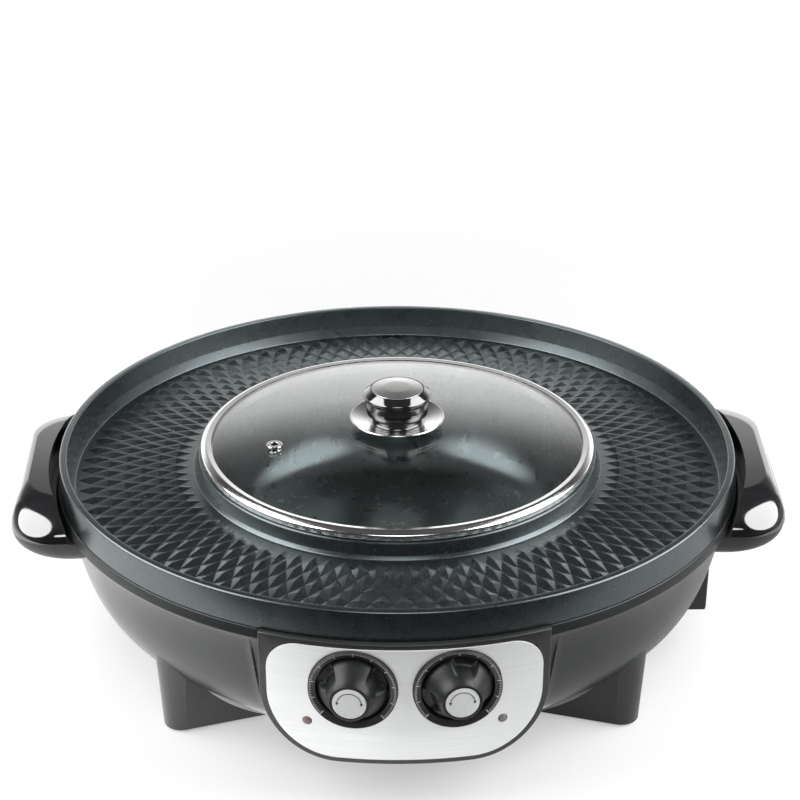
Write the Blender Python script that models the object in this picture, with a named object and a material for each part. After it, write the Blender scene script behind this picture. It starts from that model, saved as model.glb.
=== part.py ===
"""Countertop hot pot and grill: a round die-cast pan with a pot well in its middle, on a plastic bowl.

Metres, +Z up. The object stands on z = 0, and the middle of its box is over the origin.
Shapes that turn about the pan's axis are drawn with z counted from the rim's top, so a depth is negative.
"""

import math

import bmesh
import bpy
from mathutils import Vector

# General
GAP = 0.0003
OVERRUN = 0.004
MERGE_DISTANCE = 0.000001
RIM_HEIGHT = 0.125

# Pan: outer band and lip
PAN_RADIUS = 0.2118
BAND_HEIGHT = 0.0172
BAND_TAPER = 0.0015
BAND_WALL = 0.0033
LIP_ROUND = 0.0018
LIP_WIDTH = 0.0046
RIM_WALL_HEIGHT = 0.0137
RIM_WALL_DRAFT = 0.0013
PAN_WALL = 0.0035

# Pan: grill floor with its diamonds
TRAY_RADIUS = 0.2005
TRAY_DEPTH = 0.0205
TRAY_RISE = 0.0030
COLUMNS = 90
ROW_PITCH = 0.01045
FIRST_ROW = 0.0088
DIAMOND_HEIGHT = 0.0019

# Pan: collar and pot well
COLLAR_RADIUS = 0.1252
COLLAR_DRAFT = 0.0016
COLLAR_FOOT_DEPTH = 0.0150
COLLAR_LEDGE = 0.0044
COLLAR_ROUND = 0.0010
SEAT_DEPTH = 0.0073
WELL_RADIUS = 0.1178
WELL_DEPTH = 0.0740
WELL_DRAFT = 0.0040
WELL_FLOOR_RADIUS = 0.0760

# Pan: drain slot and screw bosses
SLOT_LENGTH = 0.0150
SLOT_WIDTH = 0.0048
SLOT_RADIUS = 0.1975
BOSS_RADIUS = 0.0060
BOSS_DEPTH = 0.0320
SCREW_CIRCLE = 0.1560
SCREW_HOLE = 0.0015

# Housing: bowl
HOUSING_WALL = 0.0030
FLANGE_HEIGHT = 0.0052
FLANGE_FLARE = 0.0018
FLANGE_STEP = 0.0016
FLANGE_WIDTH = 0.0026
BOWL_TOP_INSET = 0.0008
BOWL_SHOULDER_RADIUS = 0.2005
BOWL_SHOULDER_HEIGHT = 0.0765
BOWL_BELLY_RADIUS = 0.2055
BOWL_BELLY_HEIGHT = 0.0430
BOWL_FOOT_RADIUS = 0.1745
BOWL_FOOT_HEIGHT = 0.0260
BOWL_BASE_HEIGHT = 0.0215
BOWL_BASE_RADIUS = 0.1690
BASE_OPENING = 0.1400

# Housing: legs, placed by the corner where their two outer walls would meet
LEG_CORNER = 0.1468
LEG_TIP_X = 0.0770
LEG_TIP_Y = 0.1250
LEG_CORNER_ROUND = 0.0111
LEG_HEIGHT = 0.0680
LEG_SPLAY = 0.0035
LEG_BOTTOM = 0.0015
TROUGH_TOP_RADIUS = 0.1900
TROUGH_TOP_HEIGHT = 0.0475
TROUGH_UPPER_RADIUS = 0.1820
TROUGH_UPPER_HEIGHT = 0.0300
TROUGH_LOWER_RADIUS = 0.1700
TROUGH_LOWER_HEIGHT = 0.0120
TROUGH_TIP_RADIUS = 0.1470

# Feet
PAD_RADIUS = 0.0075
PAD_HEIGHT = 0.0030
PAD_CIRCLE = 0.1720

# Posts and screws
POST_RADIUS = 0.0062
POST_BORE = 0.0020
POST_CAP = 0.0080
SCREW_RADIUS = 0.0013
HEAD_RADIUS = 0.0034
HEAD_HEIGHT = 0.0022
HEAD_CLEARANCE = 0.0007

# Bottom plate
PLATE_RADIUS = 0.1500
PLATE_THICKNESS = 0.0012
PLATE_SCREW_CIRCLE = 0.1450
VENT_CIRCLE = 0.0800
VENT_LENGTH = 0.0400
VENT_WIDTH = 0.0050
VENT_COUNT = 6

# Console and panel
CONSOLE_RADIUS = 0.2150
CONSOLE_HALF_WIDTH = 0.0790
CONSOLE_BOTTOM = 0.0304
CONSOLE_CORNER = 0.0420
CONSOLE_BACK = 0.1680
CONSOLE_WALL = 0.0025
PAN_CLEAR_RADIUS = 0.2086
PAN_CLEAR_DEPTH = 0.0255
PANEL_THICKNESS = 0.0010
PANEL_TOP_MARGIN = 0.0028
PANEL_SIDE_MARGIN = 0.0042
PANEL_BOTTOM_MARGIN = 0.0042
PANEL_TOP_CORNER = 0.0180

# Dials and knobs, drawn outwards along each dial's axis from the pan's axis
DIAL_HEIGHT = 0.0797
DIAL_SPREAD = 0.0282
DIAL_RADIUS = 0.0242
DIAL_LIP = 0.0202
DIAL_RISE = 0.0016
DIAL_BEVEL = 0.0012
DIAL_SINK = 0.0053
DIAL_FLOOR = 0.0015
KNOB_RADIUS = 0.0190
KNOB_FACE_RADIUS = 0.0110
KNOB_SKIRT = 0.0035
KNOB_HEIGHT = 0.0188
KNOB_FACE_ROUND = 0.0010
KNOB_RECESSES = 3
RECESS_DEPTH = 0.0040
RECESS_HALF_ANGLE = math.radians(31)
RECESS_EDGE_ANGLE = math.radians(5)
DISC_RADIUS = 0.0092
DISC_THICKNESS = 0.0012
DISC_CROWN = 0.0004
SHAFT_RADIUS = 0.0030
SHAFT_HOLE = 0.0040
SHAFT_GRIP = 0.0090
THERMOSTAT_WIDTH = 0.0300
THERMOSTAT_HEIGHT = 0.0260
THERMOSTAT_DEPTH = 0.0180

# Indicator lamps
LAMP_SPREAD = 0.0530
LAMP_HEIGHT = 0.0569
LAMP_RADIUS = 0.0024
LAMP_LENGTH = 0.0060
LAMP_FLANGE = 0.0035

# Handles, drawn along +X in each handle's own frame
HANDLE_TURN = math.radians(3.6)
HANDLE_PROTRUSION = 0.0250
HANDLE_HALF_LENGTH = 0.0820
HANDLE_TOP = 0.0070
HANDLE_PARTING = 0.0240
HANDLE_BOTTOM = 0.0395
HANDLE_CORNER = 0.0285
HANDLE_SIDE_ROUND = 0.0090
HANDLE_END_ROUND = 0.0290
HANDLE_UNDER_SIDE_ROUND = 0.0165
HANDLE_UNDER_END_ROUND = 0.0134
HANDLE_LIP = 0.0004
HANDLE_MOAT_WIDTH = 0.0054
HANDLE_SCREW_MARGIN = 0.0340
HANDLE_SCREW_INSET = 0.0115
HANDLE_SCREW_GRIP = 0.0070
HANDLE_HEAD_DEPTH = 0.0070

# Power inlet at the right
INLET_Y = -0.0320
INLET_HALF_WIDTH = 0.0230
INLET_BACK = 0.1680
INLET_FACE = 0.1930
INLET_BOTTOM = 0.0260
INLET_TOP = 0.0570
INLET_WALL = 0.0030
INLET_MOUTH_DEPTH = 0.0190
CONNECTOR_THICKNESS = 0.0030
PIN_RADIUS = 0.0020
PIN_LENGTH = 0.0090
PIN_SPREAD = 0.0095
EARTH_PIN_RISE = 0.0050

# Heaters and heat shield
POT_HEATER_RADIUS = 0.0600
GRILL_HEATER_RADIUS = 0.1680
HEATER_TUBE = 0.0036
HEATER_OPEN_ANGLE = math.radians(24)
HEATER_STEPS = 20
HEATER_SIDES_LEVEL = 1
SHIELD_TOP_HEIGHT = 0.0350
SHIELD_TOP_RADIUS = 0.0950
SHIELD_FLANGE_RADIUS = 0.1465
SHIELD_FLANGE_INNER = 0.1320
SHIELD_THICKNESS = 0.0008

# Grease cup at the rear
CUP_HALF_WIDTH = 0.0350
CUP_BOTTOM = 0.0620
CUP_TOP = 0.0900
CUP_INNER_END = 0.1740
CUP_ROOM_END = 0.2005
CUP_WALL = 0.0020
CUP_FRONT_OVERLAP = 0.0025
CUP_FRONT_THICKNESS = 0.0034
CUP_LIP_HEIGHT = 0.0030
CUP_LIP_END = 0.2190
CUP_CLEARANCE = 0.0005
POCKET_WALL = 0.0020
POCKET_BACK = 0.1710

# Lid
LID_RADIUS = 0.1240
RING_INNER = 0.1170
RING_CREST = 0.0014
RING_SHOULDER = 0.0034
RING_WALL = 0.0007
SKIRT_RADIUS = 0.1160
SKIRT_DROP = 0.0050
GLASS_THICKNESS = 0.0030
GLASS_DEPTH = 0.0034
GLASS_RISE = 0.0112
GLASS_HOLE = 0.0040
VENT_REACH = 0.0797
VENT_TURN = math.radians(196.8)
VENT_HOLE = 0.0025
VENT_RADIUS = 0.0050
VENT_LIP = 0.0010
VENT_SEAT = 0.0036
PLATE_DISC_RADIUS = 0.0297
PLATE_DISC_RISE = 0.0048
PLATE_DISC_THICKNESS = 0.0010
PLATE_DISC_FLOOR = 0.0175
STEM_RADIUS = 0.0157
STEM_HEIGHT = 0.0040
BODY_RADIUS = 0.0193
BODY_HEIGHT = 0.0105
NECK_RADIUS = 0.0186
NECK_HEIGHT = 0.0145
CROWN_RADIUS = 0.0211
CROWN_HEIGHT = 0.0185
KNOB_TOP_RADIUS = 0.0168
KNOB_TOP_HEIGHT = 0.0222
INSERT_RADIUS = 0.0162
INSERT_DEPTH = 0.0014
INSERT_DOME = 0.0012
LID_SCREW_RADIUS = 0.0025
LID_SCREW_GRIP = 0.0080
LID_HEAD_RADIUS = 0.0055
LID_HEAD_HEIGHT = 0.0025
WASHER_RADIUS = 0.0110
WASHER_THICKNESS = 0.0012

# How finely round shapes are cut into facets
RIM_STEPS = 2 * COLUMNS // 3
UNDER_STEPS = RIM_STEPS // 2
BOWL_STEPS = 44
LID_STEPS = 36
DIAL_STEPS = 20
SMALL_STEPS = 10
SCREW_STEPS = 8

QUARTER = math.pi / 2
FULL_TURN = 2 * math.pi
SHARP_ANGLE = math.radians(30)
DIAMOND_SHARP_ANGLE = math.radians(12)


def material(name, colour, roughness, metallic=0.0, alpha=1.0):
    """A Principled finish in one colour."""
    made = bpy.data.materials.new(name)
    made.use_nodes = True
    shader = made.node_tree.nodes["Principled BSDF"]
    shader.inputs["Base Color"].default_value = (*colour, 1.0)
    shader.inputs["Roughness"].default_value = roughness
    shader.inputs["Metallic"].default_value = metallic
    shader.inputs["Alpha"].default_value = alpha
    made.diffuse_color = (*colour, alpha)
    return made


def finish_mesh(bm, name, finish, location=(0, 0, 0), parent=None, smooth=True, sharp=SHARP_ANGLE):
    """Turns a bmesh into a named object, its faces pointing out."""
    bmesh.ops.remove_doubles(bm, verts=bm.verts, dist=MERGE_DISTANCE)
    bmesh.ops.recalc_face_normals(bm, faces=bm.faces)
    mesh = bpy.data.meshes.new(name)
    bm.to_mesh(mesh)
    bm.free()
    if smooth:
        mesh.shade_smooth()
        mesh.set_sharp_from_angle(angle=sharp)
    made = bpy.data.objects.new(name, mesh)
    mesh.materials.append(finish)
    made.location = location
    made.parent = parent or stand
    bpy.context.scene.collection.objects.link(made)
    return made


def empty(name, location=(0, 0, 0), rotation=(0, 0, 0), parent=None):
    """A frame that pieces hang on."""
    made = bpy.data.objects.new(name, None)
    made.location = location
    made.rotation_euler = rotation
    made.parent = parent
    bpy.context.scene.collection.objects.link(made)
    return made


def arc(centre, radius, start, end, count):
    """Points of an arc round a centre, from one angle to another."""
    points = []
    for step in range(count + 1):
        angle = start + (end - start) * step / count
        points.append((centre[0] + radius * math.cos(angle), centre[1] + radius * math.sin(angle)))
    return points


def bezier(points, count, first=0):
    """Points of a cubic curve through its four handles."""
    a, b, c, d = (Vector(point) for point in points)
    curve = []
    for step in range(first, count + 1):
        t = step / count
        s = 1 - t
        place = a * s**3 + b * (3 * s * s * t) + c * (3 * s * t * t) + d * t**3
        curve.append(tuple(place))
    return curve


def turned(name, profile, steps, finish, **place):
    """A closed (radius, z) outline turned about z."""
    bm = bmesh.new()
    corners = [bm.verts.new((radius, 0, z)) for radius, z in profile]
    sides = zip(corners, corners[1:] + corners[:1])
    edges = [bm.edges.new((a, b)) for a, b in sides if a.co.x or b.co.x]
    bmesh.ops.spin(bm, geom=corners + edges, cent=(0, 0, 0), axis=(0, 0, 1), angle=FULL_TURN, steps=steps)
    return finish_mesh(bm, name, finish, **place)


def prism(name, outline, low, high, finish, **place):
    """An (x, y) outline pulled up from z = low to z = high."""
    bm = bmesh.new()
    base = bm.faces.new([bm.verts.new((x, y, low)) for x, y in outline])
    pulled = bmesh.ops.extrude_face_region(bm, geom=[base])["geom"]
    raised = [item for item in pulled if isinstance(item, bmesh.types.BMVert)]
    bmesh.ops.translate(bm, verts=raised, vec=(0, 0, high - low))
    return finish_mesh(bm, name, finish, **place)


def box(name, low, high, finish, **place):
    """A block between two corners."""
    outline = [(low[0], low[1]), (high[0], low[1]), (high[0], high[1]), (low[0], high[1])]
    return prism(name, outline, low[2], high[2], finish, smooth=False, **place)


def rounded_slot(length, width, count=4):
    """Outline of a slot along x with round ends."""
    half = (length - width) / 2
    radius = width / 2
    right_end = arc((half, 0), radius, -QUARTER, QUARTER, count)
    return right_end + arc((-half, 0), radius, QUARTER, 3 * QUARTER, count)


def as_tool(piece):
    """Hides a shape that only cuts or joins others."""
    piece.hide_render = True
    piece.display_type = "WIRE"
    return piece


def combine(target, tool, operation):
    """Cuts, joins or trims a piece with a tool."""
    as_tool(tool)
    change = target.modifiers.new(f"{operation} {tool.name}", "BOOLEAN")
    change.operation = operation
    change.object = tool
    change.solver = "EXACT"


def cut(target, tool):
    combine(target, tool, "DIFFERENCE")


def join(target, tool):
    combine(target, tool, "UNION")


def around(radius, angle):
    """The (x, y) place at an angle on a circle about the pan's axis."""
    return (radius * math.cos(angle), radius * math.sin(angle))


def bridge(bm, ring_a, ring_b):
    """Faces between two rings. One may be a point, or have the other's count divided by a whole number."""
    if len(ring_a) < len(ring_b):
        ring_a, ring_b = ring_b, ring_a
    ratio = len(ring_a) // len(ring_b)
    for index, near in enumerate(ring_b):
        after = ring_b[(index + 1) % len(ring_b)]
        for step in range(ratio):
            here = ratio * index + step
            nearest = near if 2 * step < ratio else after
            bm.faces.new((ring_a[here], ring_a[(here + 1) % len(ring_a)], nearest))
        if near != after:
            middle = ratio * index + (ratio + 1) // 2
            bm.faces.new((ring_a[middle % len(ring_a)], after, near))


def ring(bm, radius, z, count, raise_odd=None, raised=0.0):
    """A ring of points about z, where every second point may be raised."""
    points = []
    for index in range(count):
        x, y = around(radius, FULL_TURN * index / count)
        lift = raised if raise_odd is not None and index % 2 == raise_odd else 0.0
        points.append(bm.verts.new((x, y, z + lift)))
    return points


def tray_z(radius):
    """Height of the grill floor, which falls outwards to its drain."""
    share = (TRAY_RADIUS - radius) / (TRAY_RADIUS - PATTERN_RADIUS)
    return -TRAY_DEPTH + TRAY_RISE * share


def diamond_rings(bm):
    """The grill floor: pyramids on rhombic feet, each row turned by half a column."""
    rows = int((TRAY_RADIUS - PATTERN_RADIUS - FIRST_ROW) / ROW_PITCH) + 1
    radii = [PATTERN_RADIUS + FIRST_ROW + ROW_PITCH * row for row in range(rows)]
    rings = [ring(bm, TRAY_RADIUS, tray_z(TRAY_RADIUS), 2 * COLUMNS)]
    for row, radius in reversed(list(enumerate(radii))):
        rings.append(ring(bm, radius, tray_z(radius), 2 * COLUMNS, row % 2, DIAMOND_HEIGHT))
    rings.append(ring(bm, PATTERN_RADIUS, tray_z(PATTERN_RADIUS), 2 * COLUMNS))
    for order, (outer, inner) in enumerate(zip(rings, rings[1:])):
        apex_parity = (rows - order) % 2
        for index in range(2 * COLUMNS):
            after = (index + 1) % (2 * COLUMNS)
            corners = (outer[index], outer[after], inner[after], inner[index])
            if index % 2 == apex_parity:
                bm.faces.new((corners[0], corners[1], corners[3]))
                bm.faces.new((corners[1], corners[2], corners[3]))
            else:
                bm.faces.new((corners[0], corners[1], corners[2]))
                bm.faces.new((corners[0], corners[2], corners[3]))
    return rings[0], rings[-1]


def well_curve(outset, rise, count):
    """The pot well's wall from mouth to floor, moved out and down by a wall thickness."""
    mouth = (WELL_RADIUS + outset, -SEAT_DEPTH - COLLAR_ROUND - rise)
    upper = (WELL_RADIUS - WELL_DRAFT + outset, -(WELL_DEPTH + SEAT_DEPTH) * WELL_UPPER_SHARE)
    lower = (WELL_RADIUS - WELL_DRAFT * WELL_LOWER_DRAFTS + outset, -WELL_DEPTH - outset)
    floor = (WELL_FLOOR_RADIUS, -WELL_DEPTH - outset)
    return bezier((mouth, upper, lower, floor), count)


def make_pan():
    """The pan in one piece: band, lip, grill floor, collar, well and underside."""
    bm = bmesh.new()
    band_top = PAN_RADIUS - BAND_TAPER
    lip_inner = band_top - LIP_WIDTH
    crease = lip_inner - RIM_WALL_DRAFT
    outside = [
        (PAN_RADIUS, -BAND_HEIGHT),
        (band_top, -LIP_ROUND / 2),
        (band_top - LIP_ROUND, 0),
        (lip_inner + LIP_ROUND / 2, 0),
        (lip_inner, -LIP_ROUND / 2),
        (crease, -RIM_WALL_HEIGHT),
        ((crease + TRAY_RADIUS) / 2, -(RIM_WALL_HEIGHT + 3 * TRAY_DEPTH) / 4),
    ]
    inside = [
        (COLLAR_RADIUS + COLLAR_DRAFT + COLLAR_ROUND, tray_z(PATTERN_RADIUS)),
        (COLLAR_RADIUS + COLLAR_DRAFT, -COLLAR_FOOT_DEPTH),
        (COLLAR_RADIUS, -SEAT_DEPTH - COLLAR_ROUND / 2),
        (COLLAR_RADIUS - COLLAR_ROUND / 2, -SEAT_DEPTH),
        (WELL_RADIUS + COLLAR_ROUND, -SEAT_DEPTH),
    ]
    under_tray = tray_z(PATTERN_RADIUS) - PAN_WALL
    underside = list(reversed(well_curve(PAN_WALL, -under_tray - SEAT_DEPTH, UNDER_WELL_POINTS)))
    underside += [
        (TRAY_RADIUS, -TRAY_DEPTH - PAN_WALL),
        (crease, -TRAY_DEPTH - PAN_WALL / 2),
        (PAN_RADIUS - BAND_WALL, -BAND_HEIGHT),
    ]
    rim_rings = [ring(bm, radius, z, RIM_STEPS) for radius, z in outside]
    for first, second in zip(rim_rings, rim_rings[1:]):
        bridge(bm, first, second)
    pattern_outer, pattern_inner = diamond_rings(bm)
    bridge(bm, pattern_outer, rim_rings[-1])
    collar_rings = [ring(bm, radius, z, RIM_STEPS) for radius, z in inside]
    well_rings = [ring(bm, radius, z, UNDER_STEPS) for radius, z in well_curve(0, 0, WELL_POINTS)]
    well_rings.append([bm.verts.new((0, 0, -WELL_DEPTH))])
    under_rings = [[bm.verts.new((0, 0, -WELL_DEPTH - PAN_WALL))]]
    under_rings += [ring(bm, radius, z, UNDER_STEPS) for radius, z in underside]
    inner_rings = [pattern_inner] + collar_rings + well_rings
    for first, second in zip(inner_rings, inner_rings[1:]):
        bridge(bm, first, second)
    for first, second in zip(under_rings, under_rings[1:]):
        bridge(bm, first, second)
    bridge(bm, under_rings[-1], rim_rings[0])
    pan = finish_mesh(bm, "grill_pan", nonstick, location=(0, 0, RIM_HEIGHT), sharp=DIAMOND_SHARP_ANGLE)

    for index in range(4):
        x, y = around(SCREW_CIRCLE, QUARTER * index)
        boss = turned(f"boss_{index}", rod(BOSS_RADIUS, -BOSS_DEPTH, -TRAY_DEPTH - PAN_WALL / 2),
                      SMALL_STEPS, nonstick, location=(x, y, RIM_HEIGHT))
        join(pan, boss)
        hole = turned(f"boss_hole_{index}", rod(SCREW_HOLE, -BOSS_DEPTH - OVERRUN, -TRAY_DEPTH - PAN_WALL),
                      SCREW_STEPS, nonstick, location=(x, y, RIM_HEIGHT))
        cut(pan, hole)
    slot = prism("drain_slot", rounded_slot(SLOT_LENGTH, SLOT_WIDTH), -TRAY_DEPTH - PAN_WALL - OVERRUN,
                 -TRAY_DEPTH + OVERRUN, nonstick, location=(0, SLOT_RADIUS, RIM_HEIGHT))
    cut(pan, slot)
    return pan


def rod(radius, low, high):
    """Outline of a plain round bar, to be turned."""
    return [(0, low), (radius, low), (radius, high), (0, high)]


def leg_angle(index):
    """Direction of the diagonal on which a leg and its pad stand."""
    return QUARTER / 2 + QUARTER * index


def bowl_outline(clearance):
    """The bowl's outer wall from the rim's seat to the base, z from the floor, moved out by a clearance."""
    top = RIM_HEIGHT - BAND_HEIGHT - GAP
    flange_low = top - FLANGE_HEIGHT
    seat = PAN_RADIUS + GAP
    start = (seat - BOWL_TOP_INSET + clearance, flange_low - FLANGE_STEP)
    shoulder = (BOWL_SHOULDER_RADIUS + clearance, BOWL_SHOULDER_HEIGHT)
    belly = (BOWL_BELLY_RADIUS + clearance, BOWL_BELLY_HEIGHT)
    foot = (BOWL_FOOT_RADIUS + clearance, BOWL_FOOT_HEIGHT)
    outline = [(seat + clearance, top), (seat + FLANGE_FLARE + clearance, flange_low)]
    outline += bezier((start, shoulder, belly, foot), BOWL_POINTS)
    outline.append((BOWL_BASE_RADIUS + clearance, BOWL_BASE_HEIGHT - clearance))
    return outline


def leg_outline(spread):
    """Plan of one leg, about its own diagonal corner: two outer walls with a round corner between them."""
    along_front = Vector((LEG_CORNER - LEG_TIP_X, LEG_CORNER - LEG_TIP_Y)).normalized()
    half_angle = math.atan2(along_front.x, along_front.y) - QUARTER / 2
    centre_step = LEG_CORNER_ROUND / math.sin(half_angle)
    centre = LEG_CORNER - centre_step / math.sqrt(2)
    tip_normal = math.atan2(along_front.x, -along_front.y)
    corner = arc((centre, centre), LEG_CORNER_ROUND + spread, tip_normal, QUARTER - tip_normal,
                 LEG_CORNER_POINTS)
    return [(LEG_TIP_X, LEG_TIP_Y + spread)] + corner + [(LEG_TIP_Y + spread, LEG_TIP_X)]


def leg(name, turn):
    """One leg as a block that widens upwards, before the trough and the bowl take their parts."""
    bm = bmesh.new()
    foot = [bm.verts.new((x, y, LEG_BOTTOM)) for x, y in leg_outline(0)]
    head = [bm.verts.new((x, y, LEG_HEIGHT)) for x, y in leg_outline(LEG_SPLAY)]
    bm.faces.new(foot)
    bm.faces.new(head)
    bridge(bm, foot, head)
    made = finish_mesh(bm, name, housing_plastic)
    made.rotation_euler = (0, 0, turn)
    return made


def make_housing():
    """Bowl, legs, posts and the grease cup's pocket, as one moulding."""
    outer = bowl_outline(0)
    axis = [(0, BOWL_BASE_HEIGHT), (0, outer[0][1])]
    housing = turned("housing", outer + axis, BOWL_STEPS, housing_plastic)

    lower = (TROUGH_LOWER_RADIUS, TROUGH_LOWER_HEIGHT)
    upper = (TROUGH_UPPER_RADIUS, TROUGH_UPPER_HEIGHT)
    trough_profile = [(0, -OVERRUN), (TROUGH_TIP_RADIUS, -OVERRUN)]
    trough_profile += bezier(((TROUGH_TIP_RADIUS, 0), lower, upper, (TROUGH_TOP_RADIUS, TROUGH_TOP_HEIGHT)),
                             TROUGH_POINTS)
    trough_profile.append((0, TROUGH_TOP_HEIGHT))
    trough = turned("trough", trough_profile, BOWL_STEPS, housing_plastic)
    for index in range(4):
        block = leg(f"leg_{index}", QUARTER * index)
        cut(block, trough)
        pad_x, pad_y = around(PAD_CIRCLE, leg_angle(index))
        pocket = turned(f"pad_pocket_{index}", rod(PAD_RADIUS + GAP, -OVERRUN, PAD_HEIGHT + GAP), SMALL_STEPS,
                        housing_plastic, location=(pad_x, pad_y, 0))
        cut(block, pocket)
        join(housing, block)

    seat_inner = outer[0][0] - FLANGE_WIDTH
    inner = [(seat_inner, outer[0][1] + OVERRUN), (seat_inner, outer[1][1])]
    inner += [(radius - HOUSING_WALL, z) for radius, z in outer[3:-2]]
    inner.append((BOWL_BASE_RADIUS - HOUSING_WALL, BOWL_BASE_HEIGHT + HOUSING_WALL))
    inner += [(BASE_OPENING, BOWL_BASE_HEIGHT + HOUSING_WALL), (BASE_OPENING, BOWL_BASE_HEIGHT - OVERRUN)]
    inner += [(0, BOWL_BASE_HEIGHT - OVERRUN), (0, outer[0][1] + OVERRUN)]
    cavity = turned("cavity", inner, BOWL_STEPS, housing_plastic)
    cut(housing, cavity)

    post_top = RIM_HEIGHT - BOSS_DEPTH - GAP
    post_low = BOWL_BASE_HEIGHT + HOUSING_WALL / 2
    head_room = HEAD_RADIUS + HEAD_CLEARANCE
    for index in range(4):
        x, y = around(SCREW_CIRCLE, QUARTER * index)
        mouth_shape = rod((head_room + POST_RADIUS) / 2, -OVERRUN, post_low + HOUSING_WALL)
        mouth = turned(f"post_mouth_{index}", mouth_shape, SMALL_STEPS, housing_plastic, location=(x, y, 0))
        cut(housing, mouth)
        post_shape = [(head_room, post_low), (POST_RADIUS, post_low), (POST_RADIUS, post_top),
                      (POST_BORE, post_top), (POST_BORE, post_top - POST_CAP), (head_room, post_top - POST_CAP)]
        post = turned(f"post_{index}", post_shape, SMALL_STEPS, housing_plastic, location=(x, y, 0))
        join(housing, post)
        screw_x, screw_y = around(PLATE_SCREW_CIRCLE, QUARTER * index + PLATE_SCREW_TURN)
        pilot = turned(f"plate_pilot_{index}", rod(SCREW_HOLE, BOWL_BASE_HEIGHT - OVERRUN,
                                                   BOWL_BASE_HEIGHT + HOUSING_WALL + OVERRUN),
                       SCREW_STEPS, housing_plastic, location=(screw_x, screw_y, 0))
        cut(housing, pilot)
    return housing


def screw(name, grip, location, parent=None, shank=SCREW_RADIUS, head=HEAD_RADIUS, height=HEAD_HEIGHT):
    """A cap screw: its head's seat is at the origin and its shank points up."""
    profile = [(0, -height), (head, -height), (head, 0), (shank, 0), (shank, grip), (0, grip)]
    return turned(name, profile, SCREW_STEPS, steel, location=location, parent=parent)


def make_fasteners():
    """Pan screws up the posts, and the bottom plate's screws."""
    seat = RIM_HEIGHT - BOSS_DEPTH - GAP - POST_CAP - GAP
    for index in range(4):
        x, y = around(SCREW_CIRCLE, QUARTER * index)
        screw(f"pan_screw_{index + 1}", POST_CAP + BOSS_DEPTH / 6, (x, y, seat))
        x, y = around(PLATE_SCREW_CIRCLE, QUARTER * index + PLATE_SCREW_TURN)
        screw(f"plate_screw_{index + 1}", PLATE_THICKNESS + HOUSING_WALL,
              (x, y, BOWL_BASE_HEIGHT - PLATE_THICKNESS - 2 * GAP))


def make_bottom():
    """Plate under the bowl with its ring of vents, and the foot pads."""
    top = BOWL_BASE_HEIGHT - GAP
    plate = turned("bottom_plate", rod(PLATE_RADIUS, top - PLATE_THICKNESS, top), UNDER_STEPS, steel)
    for index in range(VENT_COUNT):
        angle = FULL_TURN * index / VENT_COUNT
        x, y = around(VENT_CIRCLE, angle)
        vent = prism(f"plate_vent_{index}", rounded_slot(VENT_LENGTH, VENT_WIDTH, VENT_END_POINTS),
                     top - PLATE_THICKNESS - OVERRUN, top + OVERRUN, steel, location=(x, y, 0))
        vent.rotation_euler = (0, 0, angle)
        cut(plate, vent)
    for index in range(4):
        x, y = around(PLATE_SCREW_CIRCLE, QUARTER * index + PLATE_SCREW_TURN)
        hole = turned(f"plate_hole_{index}", rod(POST_BORE, top - PLATE_THICKNESS - OVERRUN, top + OVERRUN),
                      SCREW_STEPS, steel, location=(x, y, 0))
        cut(plate, hole)
    for index, name in enumerate(("rear_right", "rear_left", "front_left", "front_right")):
        x, y = around(PAD_CIRCLE, leg_angle(index))
        turned(f"foot_pad_{name}", rod(PAD_RADIUS, 0, PAD_HEIGHT), SMALL_STEPS, rubber, location=(x, y, 0))


def panel_outline(half_width, low, high, low_corner, high_corner):
    """Front outline of console and panel, as (x, height): large corners below, small ones above."""
    count = CORNER_POINTS
    outline = arc((half_width - low_corner, low + low_corner), low_corner, -QUARTER, 0, count)
    if high_corner:
        outline += arc((half_width - high_corner, high - high_corner), high_corner, 0, QUARTER, count)
    else:
        outline.append((half_width, high))
    return outline + [(-x, height) for x, height in reversed(outline)]


def front_block(name, outline, near, far, finish):
    """An (x, height) outline pulled from y = -far to y = -near."""
    made = prism(name, outline, near, far, finish)
    made.rotation_euler = (QUARTER, 0, 0)
    return made


def column(name, radius, low, high, finish):
    """A full cylinder about the pan's axis."""
    return turned(name, rod(radius, low, high), FACE_STEPS, finish)


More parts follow.
